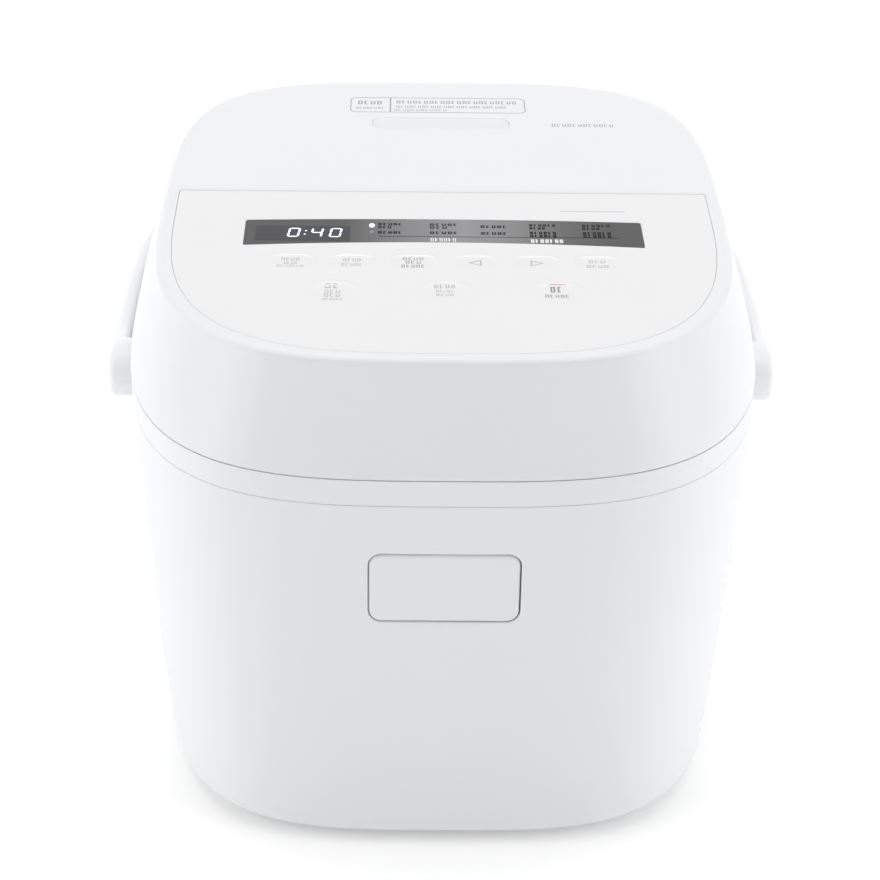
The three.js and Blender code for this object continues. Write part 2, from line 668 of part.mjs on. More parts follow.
piece('hinge_pin', bar('x', HINGE.pin, -57, 57, HINGE.y, HINGE.z), STEEL);
for (const [side, from, to] of [['left', -35.6, -22.4], ['right', 22.4, 35.6]]) {
  const coil = bar('x', 5, from, to, HINGE.y, HINGE.z);
  piece(`hinge_spring_${side}`, cut(coil, bar('x', 2.6, from - 1, to + 1, HINGE.y, HINGE.z)), STEEL);
}

piece('carrying_handle', carryingHandle(), WHITE);
piece('handle_pivot_left', handlePivot(-1), STEEL);
piece('handle_pivot_right', handlePivot(1), STEEL);

const lid = new THREE.Group();
piece('lid_shell', lidShell(), WHITE, lid);
piece('control_panel', controlPanel(), PANEL_WHITE, lid);
piece('display_window', prism(displayOutline(0), PANEL.top - PANEL.thick, PANEL.top - 0.05, 8), DARK_WINDOW, lid);
piece('display_module', block(-70, -36, -31.5, -20, 185, LID.top - PANEL.recess), BLACK_PLASTIC, lid);
piece('control_board', block(-84, 84, -96, -8, 183, 184.6), BOARD, lid);
for (const key of keyPlaces()) {
  const pad = prism(keyOutline(key, 0), LID.top - PANEL.recess + GAP + KEY_TRAVEL_ROOM, LID.top, 4);
  piece(key.name, pad, PANEL_WHITE, lid);
}
piece('steam_vent_cap', steamVentCap(), WHITE, lid);
piece('steam_duct', steamDuct(), INNER_WHITE, lid);
piece('lid_frame', lidFrame(), INNER_WHITE, lid);
piece('inner_lid', innerLid(), ALUMINIUM, lid);
piece('inner_lid_gasket', innerLidGasket(), SILICONE, lid);
piece('inner_lid_knob', innerLidKnob(), RUBBER, lid);
piece('lid_heater', lidHeater(), COPPER, lid);
cooker.add(lid);

cooker.position.set(0, -(HANDLE.b - SEAM.b) / 2, FOOT.height);

export default cooker;
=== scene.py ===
"""Looks of the rice cooker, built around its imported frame.

Lengths are millimetres in the housing's own frame (x = 0 and y = 0 in its middle, z = 0 at its lower
edge, front towards -y) until at() turns them into the frame's metres.
"""
import json
from math import atan2, copysign, cos, pi, radians, sin, sqrt

import bmesh
import bpy
from mathutils import Matrix, Vector
from mathutils.geometry import tessellate_polygon


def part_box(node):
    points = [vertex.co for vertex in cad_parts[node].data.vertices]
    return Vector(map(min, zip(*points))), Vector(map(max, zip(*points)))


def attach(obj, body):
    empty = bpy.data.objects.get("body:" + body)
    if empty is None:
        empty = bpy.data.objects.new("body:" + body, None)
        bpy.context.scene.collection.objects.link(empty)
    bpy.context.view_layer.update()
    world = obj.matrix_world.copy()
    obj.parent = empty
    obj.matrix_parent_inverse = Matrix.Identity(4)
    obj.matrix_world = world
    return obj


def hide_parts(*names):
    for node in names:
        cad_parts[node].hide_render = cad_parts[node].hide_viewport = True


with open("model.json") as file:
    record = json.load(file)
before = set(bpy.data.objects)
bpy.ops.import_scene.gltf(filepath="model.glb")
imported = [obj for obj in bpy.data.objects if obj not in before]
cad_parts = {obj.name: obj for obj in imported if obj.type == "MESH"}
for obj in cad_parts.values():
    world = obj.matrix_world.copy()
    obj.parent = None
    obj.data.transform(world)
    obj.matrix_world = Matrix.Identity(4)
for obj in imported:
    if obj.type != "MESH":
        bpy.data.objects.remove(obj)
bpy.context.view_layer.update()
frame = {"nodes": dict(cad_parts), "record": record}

# ------------------------------------------------------------------ driving dimensions

SEAM_A, SEAM_B, SEAM_N, SEAM_Z = 116.0, 149.4, 3.3, 155.1  # widest section, between body and lid
SOLE_A, SOLE_B, SOLE_N = 104.2, 137.7, 3.5  # section at the lower edge
CROWN_A, CROWN_B, CROWN_N, CROWN_REAR, CROWN_Z = 106.0, 134.0, 3.3, 3.8, 191.4  # where the lid rounds over
BODY_BULGE, LID_BULGE = 1.42, 1.22
SOLE_FILLET = 8.2
WALL, GAP = 3.0, 0.3
BAND_Z = SEAM_Z - 9.7
LID_Z, LID_TOP, LID_WALL, LID_EDGE = SEAM_Z + 0.22, 193.6, 2.6, 2.2
ROOF_Z = LID_TOP - 3.2
COVER_TOP = LID_TOP - 0.03  # leaves room for the print on top of it

PANEL_A, PANEL_B, PANEL_N, PANEL_REAR = 100.4, 128.4, 3.2, 13.2
PANEL_TOP, PANEL_THICK, PANEL_RECESS = LID_TOP - 0.4, 1.2, 1.9
DISPLAY_X, DISPLAY_Y0, DISPLAY_Y1 = 73.6, -38.4, -15.2
DISPLAY_BOW_FRONT, DISPLAY_BOW_REAR = 3.7, 1.9  # its long edges bow rearwards by this much
# The deck drops to the panel's level over this run, from just behind its rear edge.
RIM_STEP, RIM_RUN = 2.0, 16.0
VENT_X, VENT_Y0, VENT_Y1, VENT_FOOT, VENT_GAP = 27.8, 79.3, 90.9, 166.3, 0.06

POT_Y, POT_R, POT_FLANGE, POT_WALL = -22.0, 92.0, 101.0, 2.0
POT_BOTTOM, POT_TOP, POT_CORNER = 40.0, 151.4, 34.0
DECK_Z, DECK_HOLE = 149.1, 95.5
LIP_Z = 141.0  # lower edge of the upper frame's lip, inside the housing
COVER_Z, STEAM_Y, STEAM_R = 154.1, 54.0, 8.0  # the inner lid, and the steam port in it
BASE_SECTION = (95.0, 128.5, 3.5)
FOOT_X, FOOT_Y, SCREW_REACH = 64.0, 92.0, 46.0

HINGE_Y, HINGE_Z, HINGE_PLAY = SEAM_B - 8, SEAM_Z, 0.4
LUG_X, LUG_WIDTH = 48.0, 8.0
LUG_IN, LUG_OUT = LUG_X - LUG_WIDTH / 2, LUG_X + LUG_WIDTH / 2

BUTTON_X, BUTTON_Z0, BUTTON_Z1, BUTTON_CORNER, BUTTON_SET = 26.2, 98.3, 125.9, 4.6, 0.15
FLANGE_Y0, FLANGE_Y1, BOSS_Y, BOSS_R = -142.0, -140.2, -136.2, 4.0  # behind the button
INLET_X, INLET_HALF, INLET_Z0, INLET_Z1 = 46.0, 17.0, 20.0, 46.0
INLET_BACK, WELL_FLOOR, WELL_HALF, WELL_RIM = 118.2, 124.0, 13.0, 4.5

HANDLE_A, HANDLE_B, HANDLE_N = 125.8, 162.0, 4.0
HANDLE_Y, HANDLE_Z, HANDLE_THICK, HANDLE_HEIGHT, HANDLE_HUB = POT_Y, 134.0, 6.4, 14.0, 10.0

COLUMNS = 360  # one column of the housing's skin for each degree

shell_low, shell_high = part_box("outer_shell")
ORIGIN = Vector((0, (shell_low.y + shell_high.y) / 2, shell_low.z))


def at(x, y, z):
    """A point of the housing's frame, in millimetres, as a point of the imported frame."""
    return Vector((x, y, z)) / 1000 + ORIGIN


# ------------------------------------------------------------------ materials


def new_material(name):
    material = bpy.data.materials.new(name)
    material.use_nodes = True
    return material, material.node_tree, material.node_tree.nodes["Principled BSDF"]


def preset(node, **values):
    """Sets a node's inputs by name, with underscores in the place of spaces."""
    for name, value in values.items():
        node.inputs[name.replace("_", " ")].default_value = value


def noise(tree, grain_mm, detail=2.0, length=None):
    """Noise in the object's own space, or drawn out along x into brush lines by a length."""
    source = tree.nodes.new("ShaderNodeTexCoord").outputs["Object"]
    if length:
        stretch = tree.nodes.new("ShaderNodeMapping")
        preset(stretch, Scale=(1 / length, 1, 1))
        tree.links.new(source, stretch.inputs["Vector"])
        source = stretch.outputs["Vector"]
    texture = tree.nodes.new("ShaderNodeTexNoise")
    preset(texture, Scale=1000 / grain_mm, Detail=detail)
    tree.links.new(source, texture.inputs["Vector"])
    return texture.outputs["Fac"]


def between(tree, source, low, high, start=0.3, end=0.7):
    """A number between low and high, as the source goes from start to end."""
    spread = tree.nodes.new("ShaderNodeMapRange")
    preset(spread, From_Min=start, From_Max=end, To_Min=low, To_Max=high)
    tree.links.new(source, spread.inputs["Value"])
    return spread.outputs["Result"]


def two_tone(tree, factor, colour, tint):
    """A colour that drifts towards a darker version of itself."""
    blend = tree.nodes.new("ShaderNodeMix")
    blend.data_type = "RGBA"
    preset(blend, A=(*colour, 1), B=(*[channel * tint for channel in colour], 1))
    tree.links.new(factor, blend.inputs["Factor"])
    return blend.outputs["Result"]


def wire(tree, shader, tone, gloss, height, bump, grain_mm):
    """Joins a colour, a roughness and a surface grain to the shader."""
    tree.links.new(tone, shader.inputs["Base Color"])
    tree.links.new(gloss, shader.inputs["Roughness"])
    relief = tree.nodes.new("ShaderNodeBump")
    preset(relief, Strength=bump, Distance=grain_mm / 4000)
    tree.links.new(height, relief.inputs["Height"])
    tree.links.new(relief.outputs["Normal"], shader.inputs["Normal"])


def moulded(name, colour, roughness, grain_mm=0.6, bump=0.02, coat=0.0, tint=0.985, metallic=0.0, spread=0.12,
            specular=0.5):
    """Moulded plastic, rubber or cast metal: fine surface grain, with a slow drift of tone and gloss."""
    material, tree, shader = new_material(name)
    tone = two_tone(tree, noise(tree, 60, 1.0), colour, tint)
    gloss = between(tree, noise(tree, 9), roughness * (1 - spread), roughness * (1 + spread))
    wire(tree, shader, tone, gloss, noise(tree, grain_mm), bump, grain_mm)
    preset(shader, Specular_IOR_Level=specular, Coat_Weight=coat, Coat_Roughness=0.08, Metallic=metallic)
    return material


def brushed(name, colour, roughness, grain_mm=0.25, length=40):
    """Metal with brush lines drawn out along x."""
    material, tree, shader = new_material(name)
    lines = noise(tree, grain_mm, length=length)
    gloss = between(tree, lines, roughness * 0.8, roughness * 1.25)
    wire(tree, shader, two_tone(tree, lines, colour, 0.86), gloss, lines, 0.15, grain_mm)
    preset(shader, Metallic=1.0)
    return material


def glowing(name, colour, strength):
    material, tree, shader = new_material(name)
    tree.links.new(two_tone(tree, noise(tree, 3), colour, 0.93), shader.inputs["Emission Color"])
    preset(shader, Base_Color=(*colour, 1), Emission_Strength=strength)
    return material


STRIP_TONES = [(0.0, 0.066), (0.25, 0.066), (0.4, 0.19), (0.55, 0.26), (0.68, 0.2), (0.8, 0.1), (0.92, 0.06),
               (1.0, 0.065)]  # along the strip, from its left end to its right end


def strip_glass(name):
    """The smoked window: mid grey in its middle, darker towards both ends."""
    material, tree, shader = new_material(name)
    split = tree.nodes.new("ShaderNodeSeparateXYZ")
    tree.links.new(tree.nodes.new("ShaderNodeTexCoord").outputs["Object"], split.inputs["Vector"])
    ramp = tree.nodes.new("ShaderNodeValToRGB")
    along = between(tree, split.outputs["X"], 0, 1, -DISPLAY_X / 1000, DISPLAY_X / 1000)
    tree.links.new(along, ramp.inputs["Fac"])
    stops = ramp.color_ramp.elements
    stops[0].position, stops[1].position = STRIP_TONES[0][0], STRIP_TONES[-1][0]
    for position, _ in STRIP_TONES[1:-1]:
        stops.new(position)
    for stop, (_, tone) in zip(stops, STRIP_TONES):
        stop.color = (tone, tone, tone * 1.03, 1)
    tree.links.new(ramp.outputs["Color"], shader.inputs["Base Color"])
    tree.links.new(between(tree, noise(tree, 6), 0.16, 0.24), shader.inputs["Roughness"])
    preset(shader, Specular_IOR_Level=0.25)
    return material


WHITE = (0.775, 0.78, 0.795)
HOUSING = moulded("satin_white_plastic", WHITE, 0.36, bump=0.004, coat=0.03, spread=0.04, specular=0.28)
LID_WHITE = moulded("gloss_white_plastic", WHITE, 0.34, bump=0.004, coat=0.03, spread=0.04, specular=0.28)
FILM = moulded("panel_film", (0.775, 0.775, 0.785), 0.34, bump=0.004, coat=0.05, spread=0.04)
# The handle's white is lighter than the housing's. This is painted light that makes up for the shade the lid
# and body cast on the handle.
HANDLE_PAINTED_LIGHT_WHITE = moulded("handle_white_painted_light", (0.83, 0.835, 0.85), 0.4, bump=0.004, coat=0.04, spread=0.04)
INNER = moulded("inner_white_plastic", (0.78, 0.785, 0.79), 0.5, grain_mm=0.8, bump=0.08)
DARK = moulded("black_moulded_plastic", (0.018, 0.018, 0.02), 0.5, grain_mm=0.5, bump=0.15)
SCREEN = moulded("screen_black", (0.012, 0.012, 0.016), 0.16, grain_mm=0.4, bump=0.01)
SMOKED = strip_glass("smoked_window")
DIGITS = glowing("lit_digits", (0.6, 0.62, 1.0), 1.25)
LAMP_ON = glowing("lamp_lit", (0.93, 0.93, 1.0), 3.0)
LAMP_OFF = moulded("lamp_unlit", (0.2, 0.22, 0.26), 0.3)
INK_GREY = moulded("grey_ink", (0.26, 0.26, 0.27), 0.45, grain_mm=0.2)
INK_LIGHT = moulded("light_grey_ink", (0.44, 0.44, 0.45), 0.45, grain_mm=0.2)
INK_PALE = moulded("pale_grey_ink", (0.32, 0.32, 0.33), 0.45, grain_mm=0.2)
INK_DARK = moulded("black_ink", (0.006, 0.006, 0.007), 0.6, grain_mm=0.2, specular=0.08)
INK_WHITE = moulded("white_ink", (0.86, 0.86, 0.87), 0.4, grain_mm=0.2)
INK_RED = moulded("red_ink", (0.68, 0.2, 0.26), 0.4, grain_mm=0.2)
RUBBER = moulded("grey_rubber", (0.2, 0.205, 0.21), 0.8, grain_mm=0.35, bump=0.3)
SILICONE = moulded("silicone", (0.6, 0.6, 0.6), 0.55, grain_mm=0.5, bump=0.1)
COATING = moulded("pot_coating", (0.03, 0.028, 0.027), 0.38, grain_mm=0.5, bump=0.35, metallic=0.3,
                  spread=0.2)
STEEL = brushed("drawn_steel", (0.6, 0.61, 0.62), 0.28)
ALUMINIUM = brushed("spun_aluminium", (0.72, 0.73, 0.74), 0.32, grain_mm=0.35, length=14)
COPPER = brushed("enamelled_copper", (0.5, 0.2, 0.08), 0.35, grain_mm=0.6, length=20)
CIRCUIT = moulded("solder_mask", (0.02, 0.1, 0.045), 0.35, grain_mm=1.5, bump=0.2, tint=0.7)

# ------------------------------------------------------------------ sections of the housing


def mix(start, end, share):
    return start + (end - start) * share


def ease(share):
    """A smooth step from 0 to 1."""
    share = min(1, max(0, share))
    return share * share * (3 - 2 * share)


def body_section(z):
    share = min(1, max(0, (SEAM_Z - z) / SEAM_Z)) ** BODY_BULGE
    return mix(SEAM_A, SOLE_A, share), mix(SEAM_B, SOLE_B, share), mix(SEAM_N, SOLE_N, share)


def lid_section(z):
    """The lid's section is squarer at the rear, so it has a fourth number, its exponent there."""
    share = min(1, max(0, (z - SEAM_Z) / (CROWN_Z - SEAM_Z))) ** LID_BULGE
    front, rear = mix(SEAM_N, CROWN_N, share), mix(SEAM_N, CROWN_REAR, share)
    return mix(SEAM_A, CROWN_A, share), mix(SEAM_B, CROWN_B, share), front, rear


def on_section(section, turn, inset=0.0):
    """The point of a superellipse in a direction, moved inwards along its normal."""
    a, b = section[:2]
    c, s = cos(turn), sin(turn)
    n = section[-1] if s > 0 else section[2]
    reach = (abs(c) ** n + abs(s) ** n) ** (-1 / n)
    x, y = c * reach, s * reach
    normal = Vector((copysign(abs(x) ** (n - 1), x) / a, copysign(abs(y) ** (n - 1), y) / b))
    normal.normalize()
    return a * x - inset * normal.x, b * y - inset * normal.y


def turn_at(section, x, side):
    """The direction in which the front (side = -1) or rear (side = 1) face has this x."""
    a, b, n = section
    return atan2(side * (1 - abs(x / a) ** n) ** (1 / n), x / a)


def depth_at(section, x):
    a, b, n = section
    return b * (1 - abs(x / a) ** n) ** (1 / n)


def hinge_reach(x):
    return max(0.0, depth_at((SEAM_A, SEAM_B, SEAM_N), x) - HINGE_Y)


HINGE_HALF = SEAM_A * (1 - (HINGE_Y / SEAM_B) ** SEAM_N) ** (1 / SEAM_N)

# ------------------------------------------------------------------ mesh tools


def turns():
    return [-pi / 2 + 2 * pi * column / COLUMNS for column in range(COLUMNS)]


def add_object(name, data):
    made = bpy.data.objects.new(name, data)
    bpy.context.scene.collection.objects.link(made)
    return made


def closed_mesh(name, bm):
    """The bmesh as a mesh, with its corners merged and its faces turned outwards."""
    bmesh.ops.remove_doubles(bm, verts=bm.verts, dist=1e-7)
    bmesh.ops.recalc_face_normals(bm, faces=bm.faces)
    mesh = bpy.data.meshes.new(name)
    bm.to_mesh(mesh)
    bm.free()
    return mesh


def shade(mesh, material, sharp):
    mesh.materials.clear()
    mesh.materials.append(material)
    mesh.shade_smooth()
    mesh.set_sharp_from_angle(angle=radians(sharp))


def make_piece(name, bm, material, body, stands_for=(), sharp=35, weighted=False):
    """The bmesh as a shaded object that rides on a body."""
    piece = add_object(name, closed_mesh(name, bm))
    shade(piece.data, material, sharp)
    if weighted:
        modifier = piece.modifiers.new("even_shading", "WEIGHTED_NORMAL")
        modifier.keep_sharp = True
        modifier.weight = 100
    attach(piece, body)
    if stands_for:
        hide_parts(*stands_for)
    return piece


def add_loop(bm, points):
    return [bm.verts.new(at(*point)) for point in points]


def level_loop(bm, outline, z):
    """A loop of corners over an outline's (x, y) points, at one height or at a height z(x, y)."""
    height = z if callable(z) else lambda x, y: z
    return add_loop(bm, [(x, y, height(x, y)) for x, y in outline])


def bridge(bm, first, second):
    count = len(first)
    for i in range(count):
        j = (i + 1) % count
        bm.faces.new((first[i], first[j], second[j], second[i]))


def bridge_all(bm, loops):
    for first, second in zip(loops, loops[1:]):
        bridge(bm, first, second)


def cap(bm, outline, holes=()):
    """A flat face inside an outline, with holes, as triangles between the loops' own corners."""
    loops = [outline, *holes]
    corners = [vertex for loop in loops for vertex in loop]
    for triangle in tessellate_polygon([[vertex.co for vertex in loop] for loop in loops]):
        if len(set(triangle)) == 3:
            bm.faces.new([corners[i] for i in triangle])


def close_ends(bm, loops):
    """Bridges the loops and closes the first and the last."""
    bridge_all(bm, loops)
    cap(bm, loops[0])
    cap(bm, loops[-1])


def plain_prism(bm, first, second):
    """A solid between two convex loops, with a single face at each end."""
    bridge(bm, first, second)
    bm.faces.new(first)
    bm.faces.new(second)


def arc(steps, start=0.0, end=90.0):
    return [radians(mix(start, end, step / steps)) for step in range(steps + 1)]


def quarter(radius, steps):
    """(inset, drop) pairs round an edge, from the side face, where the drop is whole, to the top face."""
    return [(radius * (1 - cos(turn)), radius * (1 - sin(turn))) for turn in arc(steps)]


def circle(radius, count, u=0.0, v=0.0):
    """Points round a circle centred on (u, v), anticlockwise from the first axis."""
    return [(u + radius * cos(2 * pi * i / count), v + radius * sin(2 * pi * i / count))
            for i in range(count)]


def offset(points, distance):
    """A closed outline moved inwards (to its left, when it runs anticlockwise) by a distance."""
    moved = []
    for i, (x, y) in enumerate(points):
        (px, py), (qx, qy) = points[i - 1], points[(i + 1) % len(points)]
        along = Vector((qx - px, qy - py)).normalized()
        moved.append((x - along.y * distance, y + along.x * distance))
    return moved


def rounded_rect(x0, x1, y0, y1, r, steps=8):
    points = []
    corners = [(x1 - r, y0 + r, -90), (x1 - r, y1 - r, 0), (x0 + r, y1 - r, 90), (x0 + r, y0 + r, 180)]
    for cx, cy, start in corners:
        points += [(cx + r * cos(turn), cy + r * sin(turn)) for turn in arc(steps, start, start + 90)]
    return points


def ellipse(x, y, half_x, half_y, power=2.0, count=64):
    loop = [on_section((half_x, half_y, power), 2 * pi * i / count) for i in range(count)]
    return [(x + px, y + py) for px, py in loop]


def plate(bm, outline, holes, top, thick, edge=0.3, hole_edge=None):
    """A flat plate with rounded upper edges; its outline runs anticlockwise, as its holes do."""
    def loops(points, inward, radius):
        rows = [level_loop(bm, points, top - thick)]
        rows += [level_loop(bm, offset(points, inward * inset), top - drop)
                 for inset, drop in quarter(radius, 3)]
        bridge_all(bm, rows)
        return rows[0], rows[-1]
    bottom, upper = loops(outline, 1, edge)
    ends = [loops(hole, -1, edge if hole_edge is None else hole_edge) for hole in holes]
    cap(bm, upper, [end[1] for end in ends])
    cap(bm, bottom, [end[0] for end in ends])


def turned(bm, profile, y=POT_Y, x=0.0, sides=120):
    """A body of revolution about a vertical axis from [radius, z] points, closed on itself or the axis."""
    loops = [[bm.verts.new(at(x, y, z))] if radius < 1e-6 else level_loop(bm, circle(radius, sides, x, y), z)
             for radius, z in profile]
    closed = len(loops[0]) > 1 and len(loops[-1]) > 1
    for first, second in zip(loops, loops[1:] + loops[:1] if closed else loops[1:]):
        if len(first) == 1 or len(second) == 1:
            tip, ring = (first[0], second) if len(first) == 1 else (second[0], first)
            for i in range(sides):
                bm.faces.new((ring[i], ring[(i + 1) % sides], tip))
        else:
            bridge(bm, first, second)


def soften(profile, radius, steps=4):
    """A [radius, z] profile with its inner corners rounded."""
    rounded = [profile[0]]
    for before, corner, after in zip(profile, profile[1:], profile[2:]):
        p, c, q = Vector(before), Vector(corner), Vector(after)
        reach = min(radius, (p - c).length * 0.45, (q - c).length * 0.45)
        start, end = c + (p - c).normalized() * reach, c + (q - c).normalized() * reach
        for step in range(steps + 1):
            t = step / steps
            rounded.append(tuple(start * (1 - t) ** 2 + c * 2 * t * (1 - t) + end * t ** 2))
    return rounded + [profile[-1]]


def closed_soft(section, radius):
    """A closed [radius, z] section with every corner rounded."""
    return soften([section[-1], *section, section[0]], radius)[1:-1]


def subtract(piece, name, bm):
    """Cuts the bmesh out of a piece for good."""
    cutter = add_object(name, closed_mesh(name, bm))
    modifier = piece.modifiers.new("cut", "BOOLEAN")
    modifier.operation = "DIFFERENCE"
    modifier.solver = "EXACT"
    modifier.object = cutter
    bpy.context.view_layer.update()
    evaluated = piece.evaluated_get(bpy.context.evaluated_depsgraph_get())
    mesh = bpy.data.meshes.new_from_object(evaluated)
    piece.modifiers.remove(modifier)
    piece.data = mesh
    bpy.data.objects.remove(cutter)


# ------------------------------------------------------------------ housing shell


class Skin:
    """A closed wall: rows of points round the housing, outside going up and inside coming down.

    Each row is (height, inset from the section at that height). Openings leave out a block of the grid
    on both faces, and a tube with rounded edges joins the two.
    """

    def __init__(self, section, rows):
        self.bm = bmesh.new()
        self.section = section
        self.rows = rows
        self.grid = [add_loop(self.bm, [self.place(turn, z, inset) for turn in turns()]) for z, inset in rows]
        self.left_out = set()

    def place(self, turn, z, inset):
        return (*on_section(self.section(z), turn, inset), z)

    def nearest_column(self, turn):
        return round((turn + pi / 2) / (2 * pi) * COLUMNS)

    def perimeter(self, low, high, left, right):
        """The block's corner points and their (direction, height), anticlockwise from outside."""
        step = 1 if high > low else -1
        cells = [(low, column) for column in range(left, right)]
        cells += [(row, right) for row in range(low, high, step)]
        cells += [(high, column) for column in range(right, left, -1)]
        cells += [(row, left) for row in range(high, low, -step)]
        verts = [self.grid[row][column % COLUMNS] for row, column in cells]
        places = [(-pi / 2 + 2 * pi * column / COLUMNS, self.rows[row][0]) for row, column in cells]
        for row in range(min(low, high), max(low, high)):
            for column in range(left, right):
                self.left_out.add((row, column % COLUMNS))
        return verts, places

    def opening(self, outline, side, outer_rows, inner_rows, columns, edge):
        """Cuts an opening; outline(grow, counts) gives (x, z) points in the block's own order."""
        left, right = columns
        outer, outer_places = self.perimeter(*outer_rows, left, right)
        inner, inner_places = self.perimeter(*inner_rows, left, right)
        counts = (right - left, abs(outer_rows[1] - outer_rows[0]))

        def hole(grow):
            points = outline(grow, counts)
            return [(turn_at(self.section(z), x, side) % (2 * pi), z) for x, z in points]

        def ring(places, inset):
            return add_loop(self.bm, [self.place(turn, z, inset) for turn, z in places])

        def spread(start, end, share):
            return [(mix(a % (2 * pi), b, share), mix(z, w, share)) for (a, z), (b, w) in zip(start, end)]

        lip = hole(edge)
        shares = (0.3, 0.55, 0.75, 0.9, 1.0)
        loops = [outer] + [ring(spread(outer_places, lip, share), 0) for share in shares]
        loops += [ring(hole(drop), inset) for inset, drop in quarter(edge, 4)[1:]]
        tube = hole(0)
        loops.append(ring(tube, WALL))
        loops += [ring(spread(inner_places, tube, share), WALL) for share in (0.7, 0.35)]
        loops.append(inner)
        bridge_all(self.bm, loops)

    def close(self):
        for row in range(len(self.rows)):
            above = (row + 1) % len(self.rows)
            for column in range(COLUMNS):
                if (row, column) not in self.left_out:
                    beside = (column + 1) % COLUMNS
                    self.bm.faces.new((self.grid[row][column], self.grid[row][beside],
                                       self.grid[above][beside], self.grid[above][column]))
        return self.bm


def block_outline(x0, x1, z0, z1, corner, flip=1):
    """Points round a rounded rectangle, shared between its sides as the block's columns and rows are."""
    def outline(grow, counts):
        left, right = sorted((x0 * flip, x1 * flip))
        left, right, low, high = left - grow, right + grow, z0 - grow, z1 + grow
        r = corner + grow
        centres = [(right - r, low + r, -90), (right - r, high - r, 0), (left + r, high - r, 90),
                   (left + r, low + r, 180)]
        lengths = [counts[0], counts[1], counts[0], counts[1]]
        points = []
        for side in range(4):
            cx, cz, start = centres[side - 1]
            ex, ez, _ = centres[side]
            bends = max(1, lengths[side] // 4)
            straight = lengths[side] - 2 * bends
            for step in range(bends):
                turn = radians(start + 45 + 45 * step / bends)
                points.append((cx + r * cos(turn), cz + r * sin(turn)))
            across = radians(start + 90)
            for step in range(straight + 1):
                share = step / max(straight, 1)
                points.append((mix(cx, ex, share) + r * cos(across),
                               mix(cz, ez, share) + r * sin(across)))
            for step in range(1, bends):
                turn = radians(start + 90 + 45 * step / bends)
                points.append((ex + r * cos(turn), ez + r * sin(turn)))
        return [(x * flip, z) for x, z in points]
    return outline


def housing_shell():
    lip_inset = 14.2
    top = BAND_Z - 0.08
    wall = [9.0 + 3 * step for step in range(46)]
    rows = [(WALL, lip_inset), (0.8, lip_inset), (0.0, lip_inset - 0.8), *quarter(SOLE_FILLET, 8)]
    first = len(rows)
    rows += [(z, 0.0) for z in wall]
    rows += [(top - drop, inset) for inset, drop in quarter(0.25, 4)]
    rows += [(top, WALL)]
    inside = len(rows)
    rows += [(z, WALL) for z in reversed(wall)]
    rows += [(WALL, WALL + 3)]
    skin = Skin(body_section, rows)

    def cut(x0, x1, z0, z1, corner, side, block, edge):
        reach_x, low_z, high_z = block
        section = body_section((z0 + z1) / 2)
        middle = (x0 + x1) / 2
        ends = [skin.nearest_column(turn_at(section, middle + s * reach_x, side) % (2 * pi)) for s in (-1, 1)]
        low, high = wall.index(low_z), wall.index(high_z)
        count = len(wall) - 1
        skin.opening(block_outline(x0, x1, z0, z1, corner, 1 if side < 0 else -1), side,
                     (first + low, first + high), (inside + count - low, inside + count - high),
                     sorted(ends), edge)

    room = 0.35
    cut(-BUTTON_X - room, BUTTON_X + room, BUTTON_Z0 - room, BUTTON_Z1 + room, BUTTON_CORNER + room, -1,
        (36, 87.0, 138.0), 0.55)
    cut(INLET_X - INLET_HALF - GAP, INLET_X + INLET_HALF + GAP, INLET_Z0 - GAP, INLET_Z1 + GAP, 2.5, 1,
        (23, 12.0, 54.0), 0.6)
    for slot in range(7):
        x = -70.4 + 8 * slot
        cut(x - 1.6, x + 1.6, 26.0, 44.0, 1.4, 1, (4, 21.0, 48.0), 0.4)
    make_piece("housing_shell", skin.close(), HOUSING, "body", ["outer_shell"], sharp=50)


# ------------------------------------------------------------------ upper frame


def barrel_form(grow, spans):
    """The hinge barrel over some spans of x, as turned solids about the hinge axis."""
    bm = bmesh.new()
    for start, end in spans:
        rings = []
        for step in range(13):
            x = mix(start, end, step / 12)
            around = circle(max(0.3, hinge_reach(x)) + grow, 48, HINGE_Y, HINGE_Z)
            rings.append(add_loop(bm, [(x, y, z) for y, z in around]))
        bridge_all(bm, rings)
        bm.faces.new(rings[0])
        bm.faces.new(rings[-1])
    return bm


def box_form(x0, x1, y0, y1, z0, z1):
    bm = bmesh.new()
    plain_prism(bm, level_loop(bm, rect(x0, x1, y0, y1), z0), level_loop(bm, rect(x0, x1, y0, y1), z1))
    return bm


